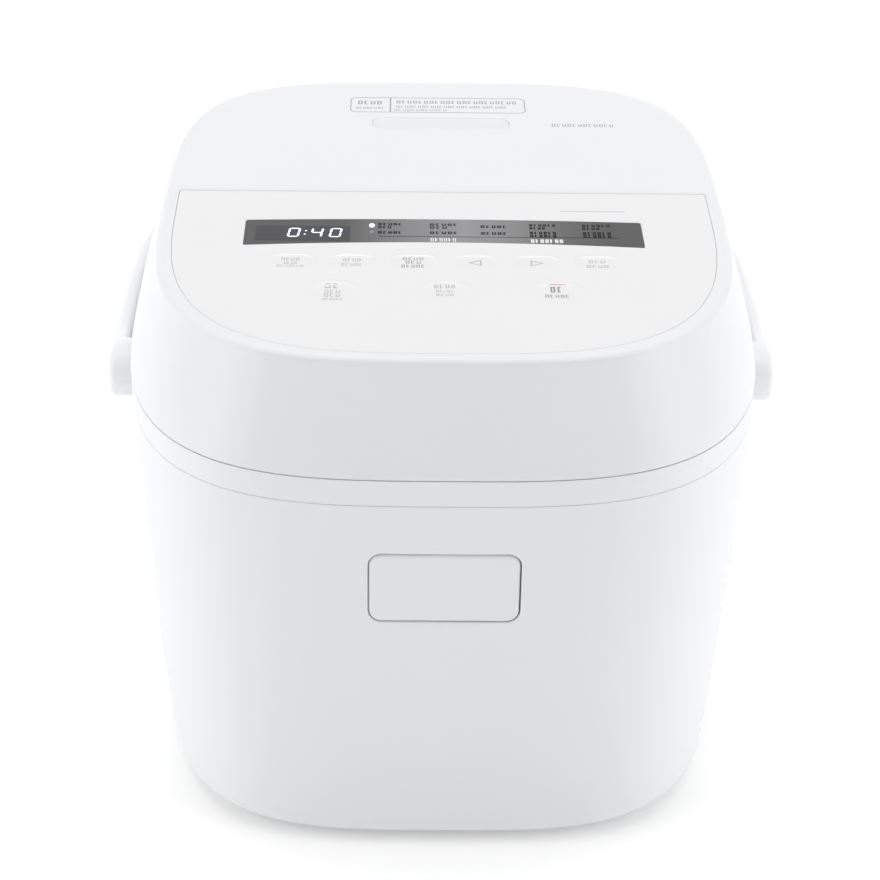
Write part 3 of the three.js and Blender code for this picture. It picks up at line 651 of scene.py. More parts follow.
def upper_frame():
    bm = bmesh.new()

    def ring(z, inset):
        return add_loop(bm, [(*on_section(body_section(z), turn, inset), z) for turn in turns()])

    rim, lip_inset, deck_under = 6.0, WALL + 0.4, DECK_Z - 3.1
    edge = quarter(0.3, 3)
    rows = [ring(BAND_Z + drop, inset) for inset, drop in reversed(edge)]
    rows += [ring(SEAM_Z - drop, inset) for inset, drop in edge]
    rows += [ring(SEAM_Z - inset, rim - drop) for inset, drop in edge]
    deck = ring(DECK_Z, rim)
    inner = ring(deck_under, rim)
    under = [ring(LIP_Z, rim), ring(LIP_Z, lip_inset), ring(BAND_Z, lip_inset)]
    bridge_all(bm, [*rows, deck])
    bridge_all(bm, [inner, *under, rows[0]])
    hole = circle(DECK_HOLE, 120, 0, POT_Y)
    wider = [(x * 1.008, POT_Y + (y - POT_Y) * 1.008) for x, y in hole]
    mouth = [level_loop(bm, wider, DECK_Z), level_loop(bm, hole, DECK_Z - 0.8),
             level_loop(bm, hole, deck_under)]
    bridge_all(bm, mouth)
    cap(bm, deck, [mouth[0]])
    cap(bm, inner, [mouth[2]])
    piece = make_piece("upper_frame", bm, HOUSING, "body", ["top_frame"], sharp=40,
                       weighted=True)

    sweep = bmesh.new()
    stations = [mix(-HINGE_HALF, HINGE_HALF, step / 40) for step in range(41)]
    outline = [(x, HINGE_Z - hinge_reach(x) - HINGE_PLAY) for x in stations]
    outline += [(HINGE_HALF, SEAM_Z + 2), (-HINGE_HALF, SEAM_Z + 2)]
    close_ends(sweep, [add_loop(sweep, [(x, y, z) for x, z in outline]) for y in (HINGE_Y, SEAM_B + 6)])
    subtract(piece, "rear_sweep", sweep)
    subtract(piece, "groove", barrel_form(HINGE_PLAY, [(-HINGE_HALF, HINGE_HALF)]))
    subtract(piece, "hook_slot", box_form(-9, 9, -140.5, -127.5, 130, 160))

    lugs = bmesh.new()
    eye = hinge_reach(LUG_OUT)
    chamfer = 0.4
    outline = [(HINGE_Y + eye * cos(turn), HINGE_Z + eye * sin(turn)) for turn in arc(24, -90, 180)]
    outline += [(HINGE_Y - eye, DECK_Z - 3), (HINGE_Y, DECK_Z - 3)]
    narrow = offset(outline, chamfer)
    for side in (-1, 1):
        x0, x1 = side * LUG_X - LUG_WIDTH / 2, side * LUG_X + LUG_WIDTH / 2
        slices = ((x0, narrow), (x0 + chamfer, outline), (x1 - chamfer, outline), (x1, narrow))
        close_ends(lugs, [add_loop(lugs, [(x, y, z) for y, z in points]) for x, points in slices])
    make_piece("hinge_lugs", lugs, HOUSING, "body", sharp=30)


# ------------------------------------------------------------------ lid


def panel_outline(inset):
    """The control panel's edge: a superellipse in front, cut straight across at the rear."""
    rear, width, corner = PANEL_REAR - inset, PANEL_A - inset, 1.2
    points = [on_section((width, PANEL_B - inset, PANEL_N), pi + pi * step / 150) for step in range(151)]
    points += [(width, mix(0, rear - corner, share)) for share in (0.5, 1.0)]
    points += [(width - corner + corner * cos(turn), rear - corner + corner * sin(turn))
               for turn in arc(5)[1:]]
    points += [(mix(width - corner, corner - width, step / 40), rear) for step in range(1, 40)]
    points += [(corner - width + corner * cos(turn), rear - corner + corner * sin(turn))
               for turn in arc(5, 90, 180)]
    points += [(-width, mix(rear - corner, 0, 0.5))]
    return points


def vent_outline(grow):
    return rounded_rect(-VENT_X - grow, VENT_X + grow, VENT_Y0 - grow, VENT_Y1 + grow, 4.5 + grow)


def lid_cover():
    bm = bmesh.new()

    def ring(z, inset):
        return add_loop(bm, [(*on_section(lid_section(min(z, CROWN_Z)), turn, inset), z) for turn in turns()])

    def beside_panel(y):
        return ease((PANEL_REAR - RIM_STEP - y) / RIM_RUN)

    def top(y):
        """The lid's rim lies level with the panel beside it, and the deck behind the panel stands higher."""
        return COVER_TOP - (COVER_TOP - PANEL_TOP + 0.1) * beside_panel(y)

    def groove_edge(y):
        return PANEL_TOP + 0.07 - 0.15 * beside_panel(y)

    def round_over(turn):
        points = [on_section(lid_section(CROWN_Z), way, LID_EDGE * (1 - cos(turn))) for way in turns()]
        return level_loop(bm, points, lambda x, y: CROWN_Z + (top(y) - CROWN_Z) * sin(turn))

    edge = 0.5
    rows = [ring(LID_Z + inset, drop) for inset, drop in quarter(edge, 4)]
    rows += [ring(mix(LID_Z + edge, CROWN_Z, step / 14), 0) for step in range(1, 15)]
    rows += [round_over(turn) for turn in arc(10)[1:]]
    bridge_all(bm, rows)

    groove = panel_outline(-0.12)
    slope = 2.2
    edge_loops = []
    for share in (0, 0.25, 0.5, 0.75, 0.9, 1.0):
        outline = offset(groove, -slope * (1 - share))
        edge_loops.append(level_loop(bm, outline, lambda x, y: mix(top(y), groove_edge(y), share * share)))
    edge_loops.append(level_loop(bm, groove, LID_TOP - PANEL_RECESS))
    bridge_all(bm, edge_loops)
    cap(bm, edge_loops[-1])
    slot = [level_loop(bm, vent_outline(drop + VENT_GAP), COVER_TOP - inset)
            for inset, drop in quarter(0.15, 4)]
    slot.append(level_loop(bm, vent_outline(VENT_GAP), ROOF_Z))
    bridge_all(bm, slot)
    cap(bm, rows[-1], [edge_loops[0], slot[0]])

    inner = [ring(LID_Z, LID_WALL), ring(174, LID_WALL), ring(ROOF_Z, LID_WALL + 1)]
    bridge_all(bm, [rows[0], *inner])
    cap(bm, inner[-1], [slot[-1]])
    cover = make_piece("lid_cover", bm, LID_WHITE, "lid", ["lid_shell"], sharp=35,
                       weighted=True)

    slots = bmesh.new()
    for side in (-1, 1):
        ends = (side * LUG_X - LUG_WIDTH / 2 - HINGE_PLAY, side * LUG_X + LUG_WIDTH / 2 + HINGE_PLAY)
        plain_prism(slots, *[add_loop(slots, [(x, y, z) for y, z in circle(6.6, 40, HINGE_Y, HINGE_Z)])
                             for x in ends])
    subtract(cover, "lug_slots", slots)

    spans = [(HINGE_PLAY - LUG_IN, LUG_IN - HINGE_PLAY), (LUG_OUT + HINGE_PLAY, HINGE_HALF),
             (-HINGE_HALF, -LUG_OUT - HINGE_PLAY)]
    make_piece("hinge_barrel", barrel_form(-0.05, spans), LID_WHITE, "lid", sharp=40)


def display_outline(grow):
    """The strip's outline: its long edges bow rearwards, and its corners are small arcs."""
    half, steps, r = DISPLAY_X + grow, 60, 1.0
    front = [(mix(-half + r, half - r, step / steps), DISPLAY_Y0 - grow) for step in range(1, steps)]
    rear = [(mix(half - r, -half + r, step / steps), DISPLAY_Y1 + grow) for step in range(1, steps)]
    square = rounded_rect(-half, half, DISPLAY_Y0 - grow, DISPLAY_Y1 + grow, r)
    corner = len(square) // 4
    bent = []
    for x, y in [*square[:2 * corner], *rear, *square[2 * corner:], *front]:
        across = (y - DISPLAY_Y0) / (DISPLAY_Y1 - DISPLAY_Y0)
        bent.append((x, y + mix(DISPLAY_BOW_FRONT, DISPLAY_BOW_REAR, across) * (1 - (x / half) ** 2)))
    return bent


def panel_film():
    bm = bmesh.new()
    holes = [display_outline(0.12)] + [key_outline(key, 0.01) for key in KEYS]
    plate(bm, panel_outline(0), holes, PANEL_TOP, PANEL_THICK, edge=0.2, hole_edge=0.01)
    make_piece("panel_film", bm, FILM, "lid", ["control_panel"], sharp=40, weighted=True)


# ------------------------------------------------------------------ keys

KEY_NAMES = [["key_keep_warm", "key_taste", "key_timer", "key_left", "key_right", "key_menu"],
             ["key_cancel", "key_quick", "key_start"]]
# Each row's y, pitch, half sizes and outline power.
KEY_ROWS = [(-51.8, 22.2, 8.5, 6.0, 3.2), (-79.0, 39.7, 10.0, 10.0, 2.0)]

KEY_SHOULDER = 0.5  # share of a key's half width over which it rises
KEY_RISE = LID_TOP - PANEL_TOP - 0.05

KEYS = []
for names, (row_y, pitch, half_x, half_y, power) in zip(KEY_NAMES, KEY_ROWS):
    for place, key_name in enumerate(names):
        KEYS.append({"name": key_name, "x": pitch * (place - (len(names) - 1) / 2), "y": row_y,
                     "half": (half_x, half_y), "power": power})


def key_outline(key, grow):
    return ellipse(key["x"], key["y"], key["half"][0] + grow, key["half"][1] + grow, key["power"], 72)


def key_lift(key, share, y):
    """Height of a key's top over the film: it rises softly inwards, and towards its rear edge."""
    rearward = (y - key["y"]) / key["half"][1] * 0.5 + 0.5
    return KEY_RISE * sin(min(1, share / KEY_SHOULDER) * pi / 2) ** 2 * ease(rearward)


def key_surface(key):
    """The height of a key's top at a point, found from the ring of the outline that passes through it."""
    half_x, half_y = key["half"]
    reach = min(key["half"])

    def height(x, y):
        low, high = 0.0, 0.99
        for _ in range(20):
            share = (low + high) / 2
            across = abs(x - key["x"]) / (half_x - share * reach)
            along = abs(y - key["y"]) / (half_y - share * reach)
            inside = across ** key["power"] + along ** key["power"] < 1
            low, high = (share, high) if inside else (low, share)
        return PANEL_TOP + key_lift(key, low, y)
    return height


def key_cap(key):
    """A pad whose top rises softly towards its rear edge."""
    bm = bmesh.new()
    side = key_outline(key, 0)
    rows = [level_loop(bm, side, LID_TOP - 1.1), level_loop(bm, side, PANEL_TOP - 0.04)]
    for step in range(1, 20):
        share = step / 20
        outline = key_outline(key, -share * min(key["half"]))
        rows.append(level_loop(bm, outline, lambda x, y: PANEL_TOP + key_lift(key, share, y)))
    close_ends(bm, rows)
    make_piece(f"cap_{key['name']}", bm, FILM, key["name"], [key["name"]], sharp=60)


# ------------------------------------------------------------------ print

INK_THICK = 0.04

def ink(name, shapes, z, material, body):
    """Thin printed shapes, each a list of (x, y) corners, at a height or on a surface z(x, y)."""
    bm = bmesh.new()
    height = z if callable(z) else lambda x, y: z
    for shape in shapes:
        close_ends(bm, [level_loop(bm, shape, height),
                        level_loop(bm, shape, lambda x, y: height(x, y) + INK_THICK)])
    return make_piece(name, bm, material, body, sharp=30)


def lid_ink(name, shapes, z, material):
    ink(name, shapes, z, material, "lid")


def strip_ink(name, shapes, z, material):
    ink(name, shapes, z, material, "lid")


def rect(x0, x1, y0, y1):
    return [(x0, y0), (x1, y0), (x1, y1), (x0, y1)]


def word(x, y, width, height, letters, weight=0.15, gap=0.3):
    """A line of blank marks in the place of letters, centred on x, y: open boxes, bars and uprights."""
    pitch = width / letters
    stroke = height * weight
    shapes = []
    for letter in range(letters):
        x0 = x - width / 2 + letter * pitch
        x1, y0, y1 = x0 + pitch * (1 - gap), y - height / 2, y + height / 2
        uprights = [rect(x0, x0 + stroke, y0, y1), rect(x1 - stroke, x1, y0, y1)]
        bars = [rect(x0 + stroke, x1 - stroke, y0, y0 + stroke),
                rect(x0 + stroke, x1 - stroke, y1 - stroke, y1)]
        shapes += (uprights + bars, bars + uprights[:1], uprights + bars[:1])[letter % 3]
    return shapes


SEGMENTS = {"0": "abcdef", "4": "bcfg"}


def digit_shapes(character, x, y, width=4.4, height=8.2, bar=0.75, slant=0.1):
    """The lit bars of a seven-segment digit, centred on x, y."""
    half, top, gap = width / 2, height / 2, bar * 0.16

    def lean(points):
        return [(x + px + py * slant, y + py) for px, py in points]

    def across(py):
        reach = half - bar / 2 - gap
        return lean([(-reach, py), (-reach + bar / 2, py - bar / 2), (reach - bar / 2, py - bar / 2),
                     (reach, py),
                     (reach - bar / 2, py + bar / 2), (-reach + bar / 2, py + bar / 2)])

    def upright(px, low, high):
        low, high = low + gap, high - gap
        return lean([(px, low), (px + bar / 2, low + bar / 2), (px + bar / 2, high - bar / 2), (px, high),
                     (px - bar / 2, high - bar / 2), (px - bar / 2, low + bar / 2)])

    side, edge = half - bar / 2, top - bar / 2
    bars = {"a": across(edge), "g": across(0), "d": across(-edge), "b": upright(side, 0, edge),
            "f": upright(-side, 0, edge), "c": upright(side, -edge, 0), "e": upright(-side, -edge, 0)}
    return [bars[name] for name in SEGMENTS[character]]


CLOCK_Y = -26.7
LAMP_X = -26.7
MENU_BOLD, WHITE_BOLD = 0.24, 0.22  # stroke over height
# Columns of the menu that have two lines in their first row: x, width, letters, the lines of the second row.
MENU_COLUMNS = [(-19.6, 9.4, 5, (-26.0,)), (0.4, 11, 5, (-26.0,)), (37, 10.2, 6, (-25.4, -28.2)),
                (57, 10.9, 6, (-25.4, -28.2))]


def display_strip():
    bm = bmesh.new()
    face = PANEL_TOP + 0.02
    plate(bm, display_outline(0), [], face, PANEL_THICK - 0.1, edge=0.15)
    make_piece("display_strip", bm, SMOKED, "lid", ["display_window"], sharp=40, weighted=True)

    strip_ink("clock_screen", [rounded_rect(-69.6, -34.7, -34.0, -20.4, 0.5, 3)], face, SCREEN)
    digits = []
    for character, x in (("0", -55.4), ("4", -46.9), ("0", -40.0)):
        digits += digit_shapes(character, x, CLOCK_Y)
    digits += [ellipse(-51.2 + shift, CLOCK_Y + rise, 0.4, 0.45, count=16)
               for shift, rise in ((0.2, 1.6), (-0.2, -1.6))]
    strip_ink("clock_digits", digits, face + 0.03, DIGITS)
    strip_ink("lamp_white_rice", [ellipse(LAMP_X, -19.6, 0.95, 1.6, count=32)], face, LAMP_ON)
    strip_ink("lamp_second", [ellipse(LAMP_X, -25.6, 0.9, 1.2, count=32)], face, LAMP_OFF)

    menu = word(18.9, -19.9, 10.3, 2.2, 5, MENU_BOLD) + word(18.9, -26.2, 10.3, 2.2, 5, MENU_BOLD)
    for x, width, letters, lines in MENU_COLUMNS:
        menu += word(x, -18.3, width, 2.0, letters, MENU_BOLD)
        menu += word(x - 2, -21.1, width - 4, 2.0, letters - 2, MENU_BOLD)
        for y in lines:
            menu += word(x, y, width, 2.2, letters, MENU_BOLD)
    menu.append(rect(-24, 65, -29.8, -29.5))
    strip_ink("menu_words", menu, face, INK_DARK)
    white = word(0, -32.5, 9.8, 3.2, 6, WHITE_BOLD) + word(38.2, -33.0, 12.4, 3.2, 7, WHITE_BOLD)
    strip_ink("menu_words_white", white, face, INK_WHITE)


LEGENDS = {  # each line of a key's legend: rise over the key's middle, width, letters, height
    "key_keep_warm": [(0.4, 7, 4, 2.0), (-2.6, 5, 4, 1.6), (-5.0, 10, 7, 1.4)],
    "key_taste": [(0.2, 7, 4, 2.0), (-3.6, 8, 5, 1.8)],
    "key_timer": [(1.4, 8, 4, 1.8), (-1.4, 6, 3, 2.0), (-4.6, 9, 5, 2.2)],
    "key_menu": [(0.2, 6.4, 3, 2.0), (-3.8, 8.4, 4, 2.0)],
    "key_cancel": [(4.4, 6, 2, 4.0), (0.0, 6, 3, 2.0), (-3.2, 6, 3, 2.4), (-6.4, 7.4, 6, 1.4)],
    "key_quick": [(4.6, 8, 4, 3.0), (0.6, 6.6, 5, 1.4), (-2.2, 6.6, 4, 1.6)],
    "key_start": [(2.6, 5, 2, 4.4), (-2.6, 9, 5, 2.2)],
}


def frame_sides(outer, inner):
    """The area between two outlines, as one four-cornered shape for each side."""
    count = len(outer)
    return [[outer[i], outer[(i + 1) % count], inner[(i + 1) % count], inner[i]] for i in range(count)]


def key_legends():
    """Blank marks for the words, plain arrows on the two arrow keys, and the start key's red dash."""
    for key in KEYS:
        name, x, y = key["name"], key["x"], key["y"]
        shapes = []
        for rise, width, letters, height in LEGENDS.get(name, ()):
            shapes += word(x, y + rise, width, height, letters)
        if name in ("key_left", "key_right"):
            way = -1 if name == "key_left" else 1
            shapes = frame_sides([(x + way * 2.6, y - 1.5), (x - way * 2.2, y + 0.9),
                                  (x - way * 2.2, y - 3.9)],
                                 [(x + way * 1.8, y - 1.5), (x - way * 1.7, y + 0.2),
                                  (x - way * 1.7, y - 3.2)])
        tone = INK_GREY if name in ("key_timer", "key_start") else INK_LIGHT
        ink(f"print_{name}", shapes, key_surface(key), tone, name)
    start = KEYS[-1]
    x, y = start["x"] - 2.8, start["y"] + 6.7
    dash = [rect(x + part, x + part + 1, y, y + 0.7) for part in range(6)]
    ink("print_start_dash", dash, key_surface(start), INK_RED, start["name"])


def deck_print():
    """The framed notice behind the vent and the small words beside it, as blank marks."""
    z = LID_TOP - 0.05
    sides = frame_sides(rounded_rect(-37, 35, 97, 114, 3), rounded_rect(-36.6, 34.6, 97.5, 113.5, 2.6))
    sides.append(rect(-20.8, -20.2, 97.5, 113.5))
    lid_ink("print_notice_frame", sides, z, INK_PALE)
    words = word(-28.6, 108.0, 10.5, 4, 4) + word(-28.6, 102.0, 12, 2, 8)
    words += word(7, 109.0, 50, 3.2, 22) + word(5, 103.7, 46, 2.2, 26) + word(-8, 99.9, 22, 1.8, 12)
    lid_ink("print_notice", words, z, INK_PALE)
    lid_ink("print_small_words", word(57.8, 84, 25.6, 2.8, 12), z, INK_PALE)
    ink("print_line", [rect(44, 68.6, -4.8, -4.4)], PANEL_TOP, INK_LIGHT, "lid")


# ------------------------------------------------------------------ vent, button, handle


def vent_insert():
    """The steam vent cap: a shallow dish, deepest along its front, where the steam comes out."""
    bm = bmesh.new()
    rim = vent_outline(0)
    lip, wall = 0.4, 1.2

    def floor(x, y):
        share = (VENT_Y1 - y - 0.6) / (VENT_Y1 - VENT_Y0 - 1.8)
        return LID_TOP - 0.06 - 1.6 * min(1, max(0, share)) ** 2.2

    rows = [level_loop(bm, rim, VENT_FOOT)]
    rows += [level_loop(bm, offset(rim, inset), LID_TOP - 0.1 - drop) for inset, drop in quarter(lip, 4)]
    for share in (0.25, 0.5, 0.75, 1.0):
        rows.append(level_loop(bm, offset(rim, mix(lip, wall, share)),
                               lambda x, y: mix(LID_TOP - 0.1, floor(x, y), ease(share))))
    middle = (VENT_Y0 + VENT_Y1) / 2
    for share in (0.2, 0.45, 0.7, 0.9):
        ring = [(x, middle + (y - middle) * (1 - share)) for x, y in offset(rim, wall)]
        rows.append(level_loop(bm, ring, floor))
    close_ends(bm, rows)
    make_piece("vent_insert", bm, LID_WHITE, "steam_vent_cap", ["steam_vent_cap"], sharp=35)
    # The steam outlets are painted shade: thin grey strips on the dish floor where the slits would look dark.
    slots = [rect(x, x + 9, VENT_Y0 + 1.3, VENT_Y0 + 1.8) for x in (-22.6, -11.3, 0, 11.3)]
    ink("vent_outlets_painted_shade", slots, LID_TOP - 1.62, INK_GREY, "steam_vent_cap")


def front_loop(bm, points, depth):
    """A loop over (x, z) points on the housing's front face, or behind it by a depth."""
    return add_loop(bm, [(x, depth - depth_at(body_section(z), x), z) for x, z in points])


def button_face(inset):
    """The button's outline, with less room below it than above, moved inwards."""
    return rounded_rect(-BUTTON_X + inset - 0.1, BUTTON_X - inset - 0.1, BUTTON_Z0 + inset - 0.2,
                        BUTTON_Z1 - inset - 0.1, BUTTON_CORNER - inset, 10)


def button_middle(inset):
    """An inner ring of the button's face, as a narrowing rounded rectangle."""
    inset = min(inset, (BUTTON_Z1 - BUTTON_Z0) / 2 - 0.6)
    return rounded_rect(-BUTTON_X + inset, BUTTON_X - inset, BUTTON_Z0 + inset, BUTTON_Z1 - inset, 0.5, 10)


def front_button():
    """The button's face follows the housing, with a soft bevel and a flange behind it."""
    bm = bmesh.new()
    rows = [front_loop(bm, button_face(0), 6.2)]
    rows += [front_loop(bm, button_face(inset), BUTTON_SET + drop) for inset, drop in quarter(1.3, 5)]
    rows += [front_loop(bm, button_face(inset), BUTTON_SET) for inset in (2.2, 4.0)]
    rows += [front_loop(bm, button_middle(inset), BUTTON_SET) for inset in (7.0, 9.8, 12.4)]
    close_ends(bm, rows)
    make_piece("front_button", bm, HOUSING, "release_button", ["release_button"], sharp=45)
    flange = box_form(-BUTTON_X - 3, BUTTON_X + 3, FLANGE_Y0, FLANGE_Y1, BUTTON_Z0 - 3, BUTTON_Z1 + 3)
    boss = circle(BOSS_R, 24, 0, 114)
    plain_prism(flange, *[add_loop(flange, [(x, y, z) for x, z in boss]) for y in (FLANGE_Y1 - 0.1, BOSS_Y)])
    make_piece("button_flange", flange, INNER, "release_button", sharp=30)


def carrying_handle():
    """A strap bent round the rear in plan, with round ends at its pivots."""
    bm = bmesh.new()
    corner = 2.6
    inside = body_section(HANDLE_Z)[0] + GAP
    tip = HANDLE_Y - HANDLE_HUB
    straight = [tip + 0.02 + HANDLE_HUB * (1 - cos(turn)) for turn in arc(20)]
    straight += [HANDLE_Y + run for run in (2, 4, 6, 8, 8.6, 9.2, 9.6, 10, 10.4, 11, 12, 14, 17, 20)]
    path = [(HANDLE_A, y, 0.0) for y in straight]
    for turn in arc(150, 0, 180):
        x, y = on_section((HANDLE_A, HANDLE_B, HANDLE_N), turn)
        ix, iy = on_section((HANDLE_A, HANDLE_B, HANDLE_N), turn, 1.0)
        path.append((x, y, atan2(y - iy, x - ix)))
    path += [(-HANDLE_A, y, pi) for y in reversed(straight)]

    def half_height(y):
        if y < HANDLE_Y:
            return sqrt(max(HANDLE_HUB ** 2 - (HANDLE_Y - y) ** 2, 0.01))
        return mix(HANDLE_HUB, HANDLE_HEIGHT / 2, ease((y - HANDLE_Y) / 26))

    def depth(y):
        """The hub reaches in to the housing; the strap behind it is thinner."""
        share = (y - HANDLE_Y - HANDLE_HUB + 1.6) / 2.4
        return mix(HANDLE_A - inside, HANDLE_THICK, ease(share))

    def roll(y):
        """How far the hub's outer face has rolled in towards its front tip."""
        run = min(corner, y - tip)
        return corner - sqrt(corner ** 2 - (corner - run) ** 2)

    rings = []
    for x, y, normal in path:
        half = half_height(y)
        r = min(corner, half * 0.9, HANDLE_THICK / 2 - 0.2)
        ring = rounded_rect(roll(y), depth(y), -half, half, r, 6)
        rings.append(add_loop(bm, [(x - u * cos(normal), y - u * sin(normal), HANDLE_Z + v)
                                   for u, v in ring]))
    close_ends(bm, rings)
    make_piece("bail_handle", bm, HANDLE_PAINTED_LIGHT_WHITE, "carrying_handle", ["carrying_handle"],
               sharp=50)


# ------------------------------------------------------------------ pot, inner lid and lower pieces


def cup_wall(r, bottom, corner, top):
    """A cup's wall as [radius, z] points: out along its floor, round its corner and up to its rim."""
    bend = [(r - corner + corner * sin(turn), bottom + corner * (1 - cos(turn))) for turn in arc(16)]
    return [(0, bottom), *bend, (r, top)]


def cooking_pot():
    outer = cup_wall(POT_R, POT_BOTTOM, POT_CORNER, POT_TOP - POT_WALL)
    inner = cup_wall(POT_R - POT_WALL, POT_BOTTOM + POT_WALL, POT_CORNER - POT_WALL, POT_TOP - 1.2)
    lip = POT_FLANGE - 0.9
    rim = [(lip + 0.9 * sin(turn), POT_TOP - 1.0 - 0.98 * cos(turn)) for turn in arc(8, 10, 170)]
    shoulder = [(POT_R - POT_WALL + 1.2 * (1 - sin(turn)), POT_TOP - 1.2 + 1.2 * cos(turn))
                for turn in arc(5)]
    bm = bmesh.new()
    turned(bm, [*outer, *rim, *shoulder, *reversed(inner)])
    make_piece("cooking_pot", bm, COATING, "body", ["inner_pot"], sharp=50)

    marks = bmesh.new()
    face = POT_R - POT_WALL - 0.02
    for level in range(6):
        z = 66 + 11 * level
        reach = radians(4.5 if level % 2 == 0 else 2.75)
        loops = []
        for radius in (face, face - 0.12):
            ring = []
            for height, way in ((-0.35, 1), (0.35, -1)):
                for step in range(9):
                    turn = pi / 2 + way * mix(reach, -reach, step / 8)
                    ring.append((radius * cos(turn), POT_Y + radius * sin(turn), z + height))
            loops.append(add_loop(marks, ring))
        plain_prism(marks, *loops)
    make_piece("pot_level_marks", marks, INK_PALE, "body", sharp=40)


def round_plate(bm, rings, thick, port_y, port_r):
    """The turned rings of a plate, with a port between the last two radii that opens out underneath."""
    def loop(radius, z, y=POT_Y):
        return level_loop(bm, circle(radius, 120, 0, y), z)

    under = [loop(radius, z) for radius, z in rings]
    over = [loop(radius, z + thick) for radius, z in rings]
    low, flare = rings[-1][1], 0.6
    port = [loop(port_r + flare, low, port_y), loop(port_r, low + flare, port_y),
            loop(port_r, low + thick, port_y)]
    for loops, hole in ((under, port[0]), (over, port[-1])):
        bridge_all(bm, loops[:-1])
        cap(bm, loops[-1], [loops[-2], hole])
    bridge_all(bm, port)
    bridge(bm, under[0], over[0])
    bridge(bm, under[-1], over[-1])


def inner_cover():
    """The removable inner lid, with a stamped bead round its middle, its seal and its knob."""
    bm = bmesh.new()
    z, bead = COVER_Z, COVER_Z - 0.1
    rings = [(4.5, z), (30, z), (31.2, z - 0.05), (32.4, bead), (56, bead), (57, z - 0.05), (58, z),
             (95.6, z)]
    round_plate(bm, rings, 1.2, STEAM_Y, STEAM_R)
    make_piece("inner_cover", bm, ALUMINIUM, "lid", ["inner_lid"], sharp=30)

    seal = bmesh.new()
    section = [(96.4, 153.6), (94, 151.8), (99, 151.8), (103, 153.4), (103, 155.6), (96.4, 155.6)]
    turned(seal, closed_soft(section, 0.7))
    make_piece("inner_cover_seal", seal, SILICONE, "lid", ["inner_lid_gasket"], sharp=60)

    knob = bmesh.new()
    turned(knob, soften([(0, 150.4), (8, 150.4), (8, 153.6), (3.6, 153.6), (3.6, 159.4), (0, 159.4)], 0.8))
    make_piece("inner_cover_knob", knob, SILICONE, "lid", ["inner_lid_knob"], sharp=40)


def lid_underside():
    """The plate under the lid, with openings for the hinge, the hook, the steam and the knob."""
    bm = bmesh.new()
    outline = [on_section(lid_section(157.2), turn, LID_WALL + 3 * GAP) for turn in turns()]
    openings = [ellipse(0, STEAM_Y, STEAM_R, STEAM_R, count=48), ellipse(0, POT_Y, 4, 4, count=32)]
    plate(bm, outline, openings, 158.4, 2.4, edge=0.4)
    piece = make_piece("lid_underside", bm, INNER, "lid", ["lid_frame"], sharp=40)
    for name, x, y0, y1 in (("rear_room", HINGE_HALF + 6, HINGE_Y - 9.2, 160),
                            ("hook_room", 9.5, -141.5, -129.2)):
        subtract(piece, name, box_form(-x, x, y0, y1, 150, 165))


def base():
    """The lower plate that fills the housing's opening, with air slots and screw holes."""
    bm = bmesh.new()
    screws = [(i * SCREW_REACH, POT_Y + j * SCREW_REACH) for i in (-1, 1) for j in (-1, 1)]
    openings = [rounded_rect(x - 1.5, x + 1.5, 77, 117, 1.4, 5) for x in range(-20, 28, 8)]
    openings += [ellipse(x, y, 1.8, 1.8, count=24) for x, y in screws]
    a, b, power = BASE_SECTION

    def ring(grow, z):
        return level_loop(bm, [on_section((a + grow, b + grow, power), turn) for turn in turns()], z)

    rims = [ring(-6.0, GAP), ring(-5.6, GAP + 0.12), ring(-5.4, GAP + 0.5), ring(-5.4, WALL + GAP),
            ring(0, WALL + GAP), ring(0, 2 * WALL)]
    bridge_all(bm, rims)
    low = [level_loop(bm, opening, GAP) for opening in openings]
    high = [level_loop(bm, opening, 2 * WALL) for opening in openings]
    for first, second in zip(low, high):
        bridge(bm, first, second)
    cap(bm, rims[0], low)
    cap(bm, rims[-1], high)
    make_piece("base_cover", bm, INNER, "body", ["base_plate"], sharp=40)

    head = [(0, -0.7), (1.3, -0.7), (1.5, -1.5), (2.2, -1.6), (3.0, -1.3), (3.4, -0.7), (3.4, 0), (1.5, 0),
            (1.5, 10.5), (0, 10.5)]
    for place, (x, y) in enumerate(screws):
        screw = bmesh.new()
        turned(screw, head, y=y, x=x, sides=40)
        nodes = [name for name in frame["nodes"] if name.startswith("base_screw") and near(name, x, y)]
        make_piece(f"screw_{place + 1}", screw, STEEL, "body", nodes, sharp=30)

    pad = [(0, -2.2), (4.6, -2.2), (5.4, -2.6), (5.8, -3.0), (8.0, -3.0), (8.8, -2.6), (9.0, -1.8), (9.0, 0),
           (0, 0)]
    for end, j in (("front", -1), ("rear", 1)):
        for side, i in (("left", -1), ("right", 1)):
            foot = bmesh.new()
            turned(foot, pad, y=j * FOOT_Y, x=i * FOOT_X, sides=72)
            make_piece(f"pad_{end}_{side}", foot, RUBBER, "body", [f"foot_{end}_{side}"],
                       sharp=50)


def near(name, x, y):
    """Whether a CAD node's middle is over a point of the housing's plan."""
    low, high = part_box(name)
    middle = ((low + high) / 2 - ORIGIN) * 1000
    return abs(middle.x - x) < 2 and abs(middle.y - y) < 2


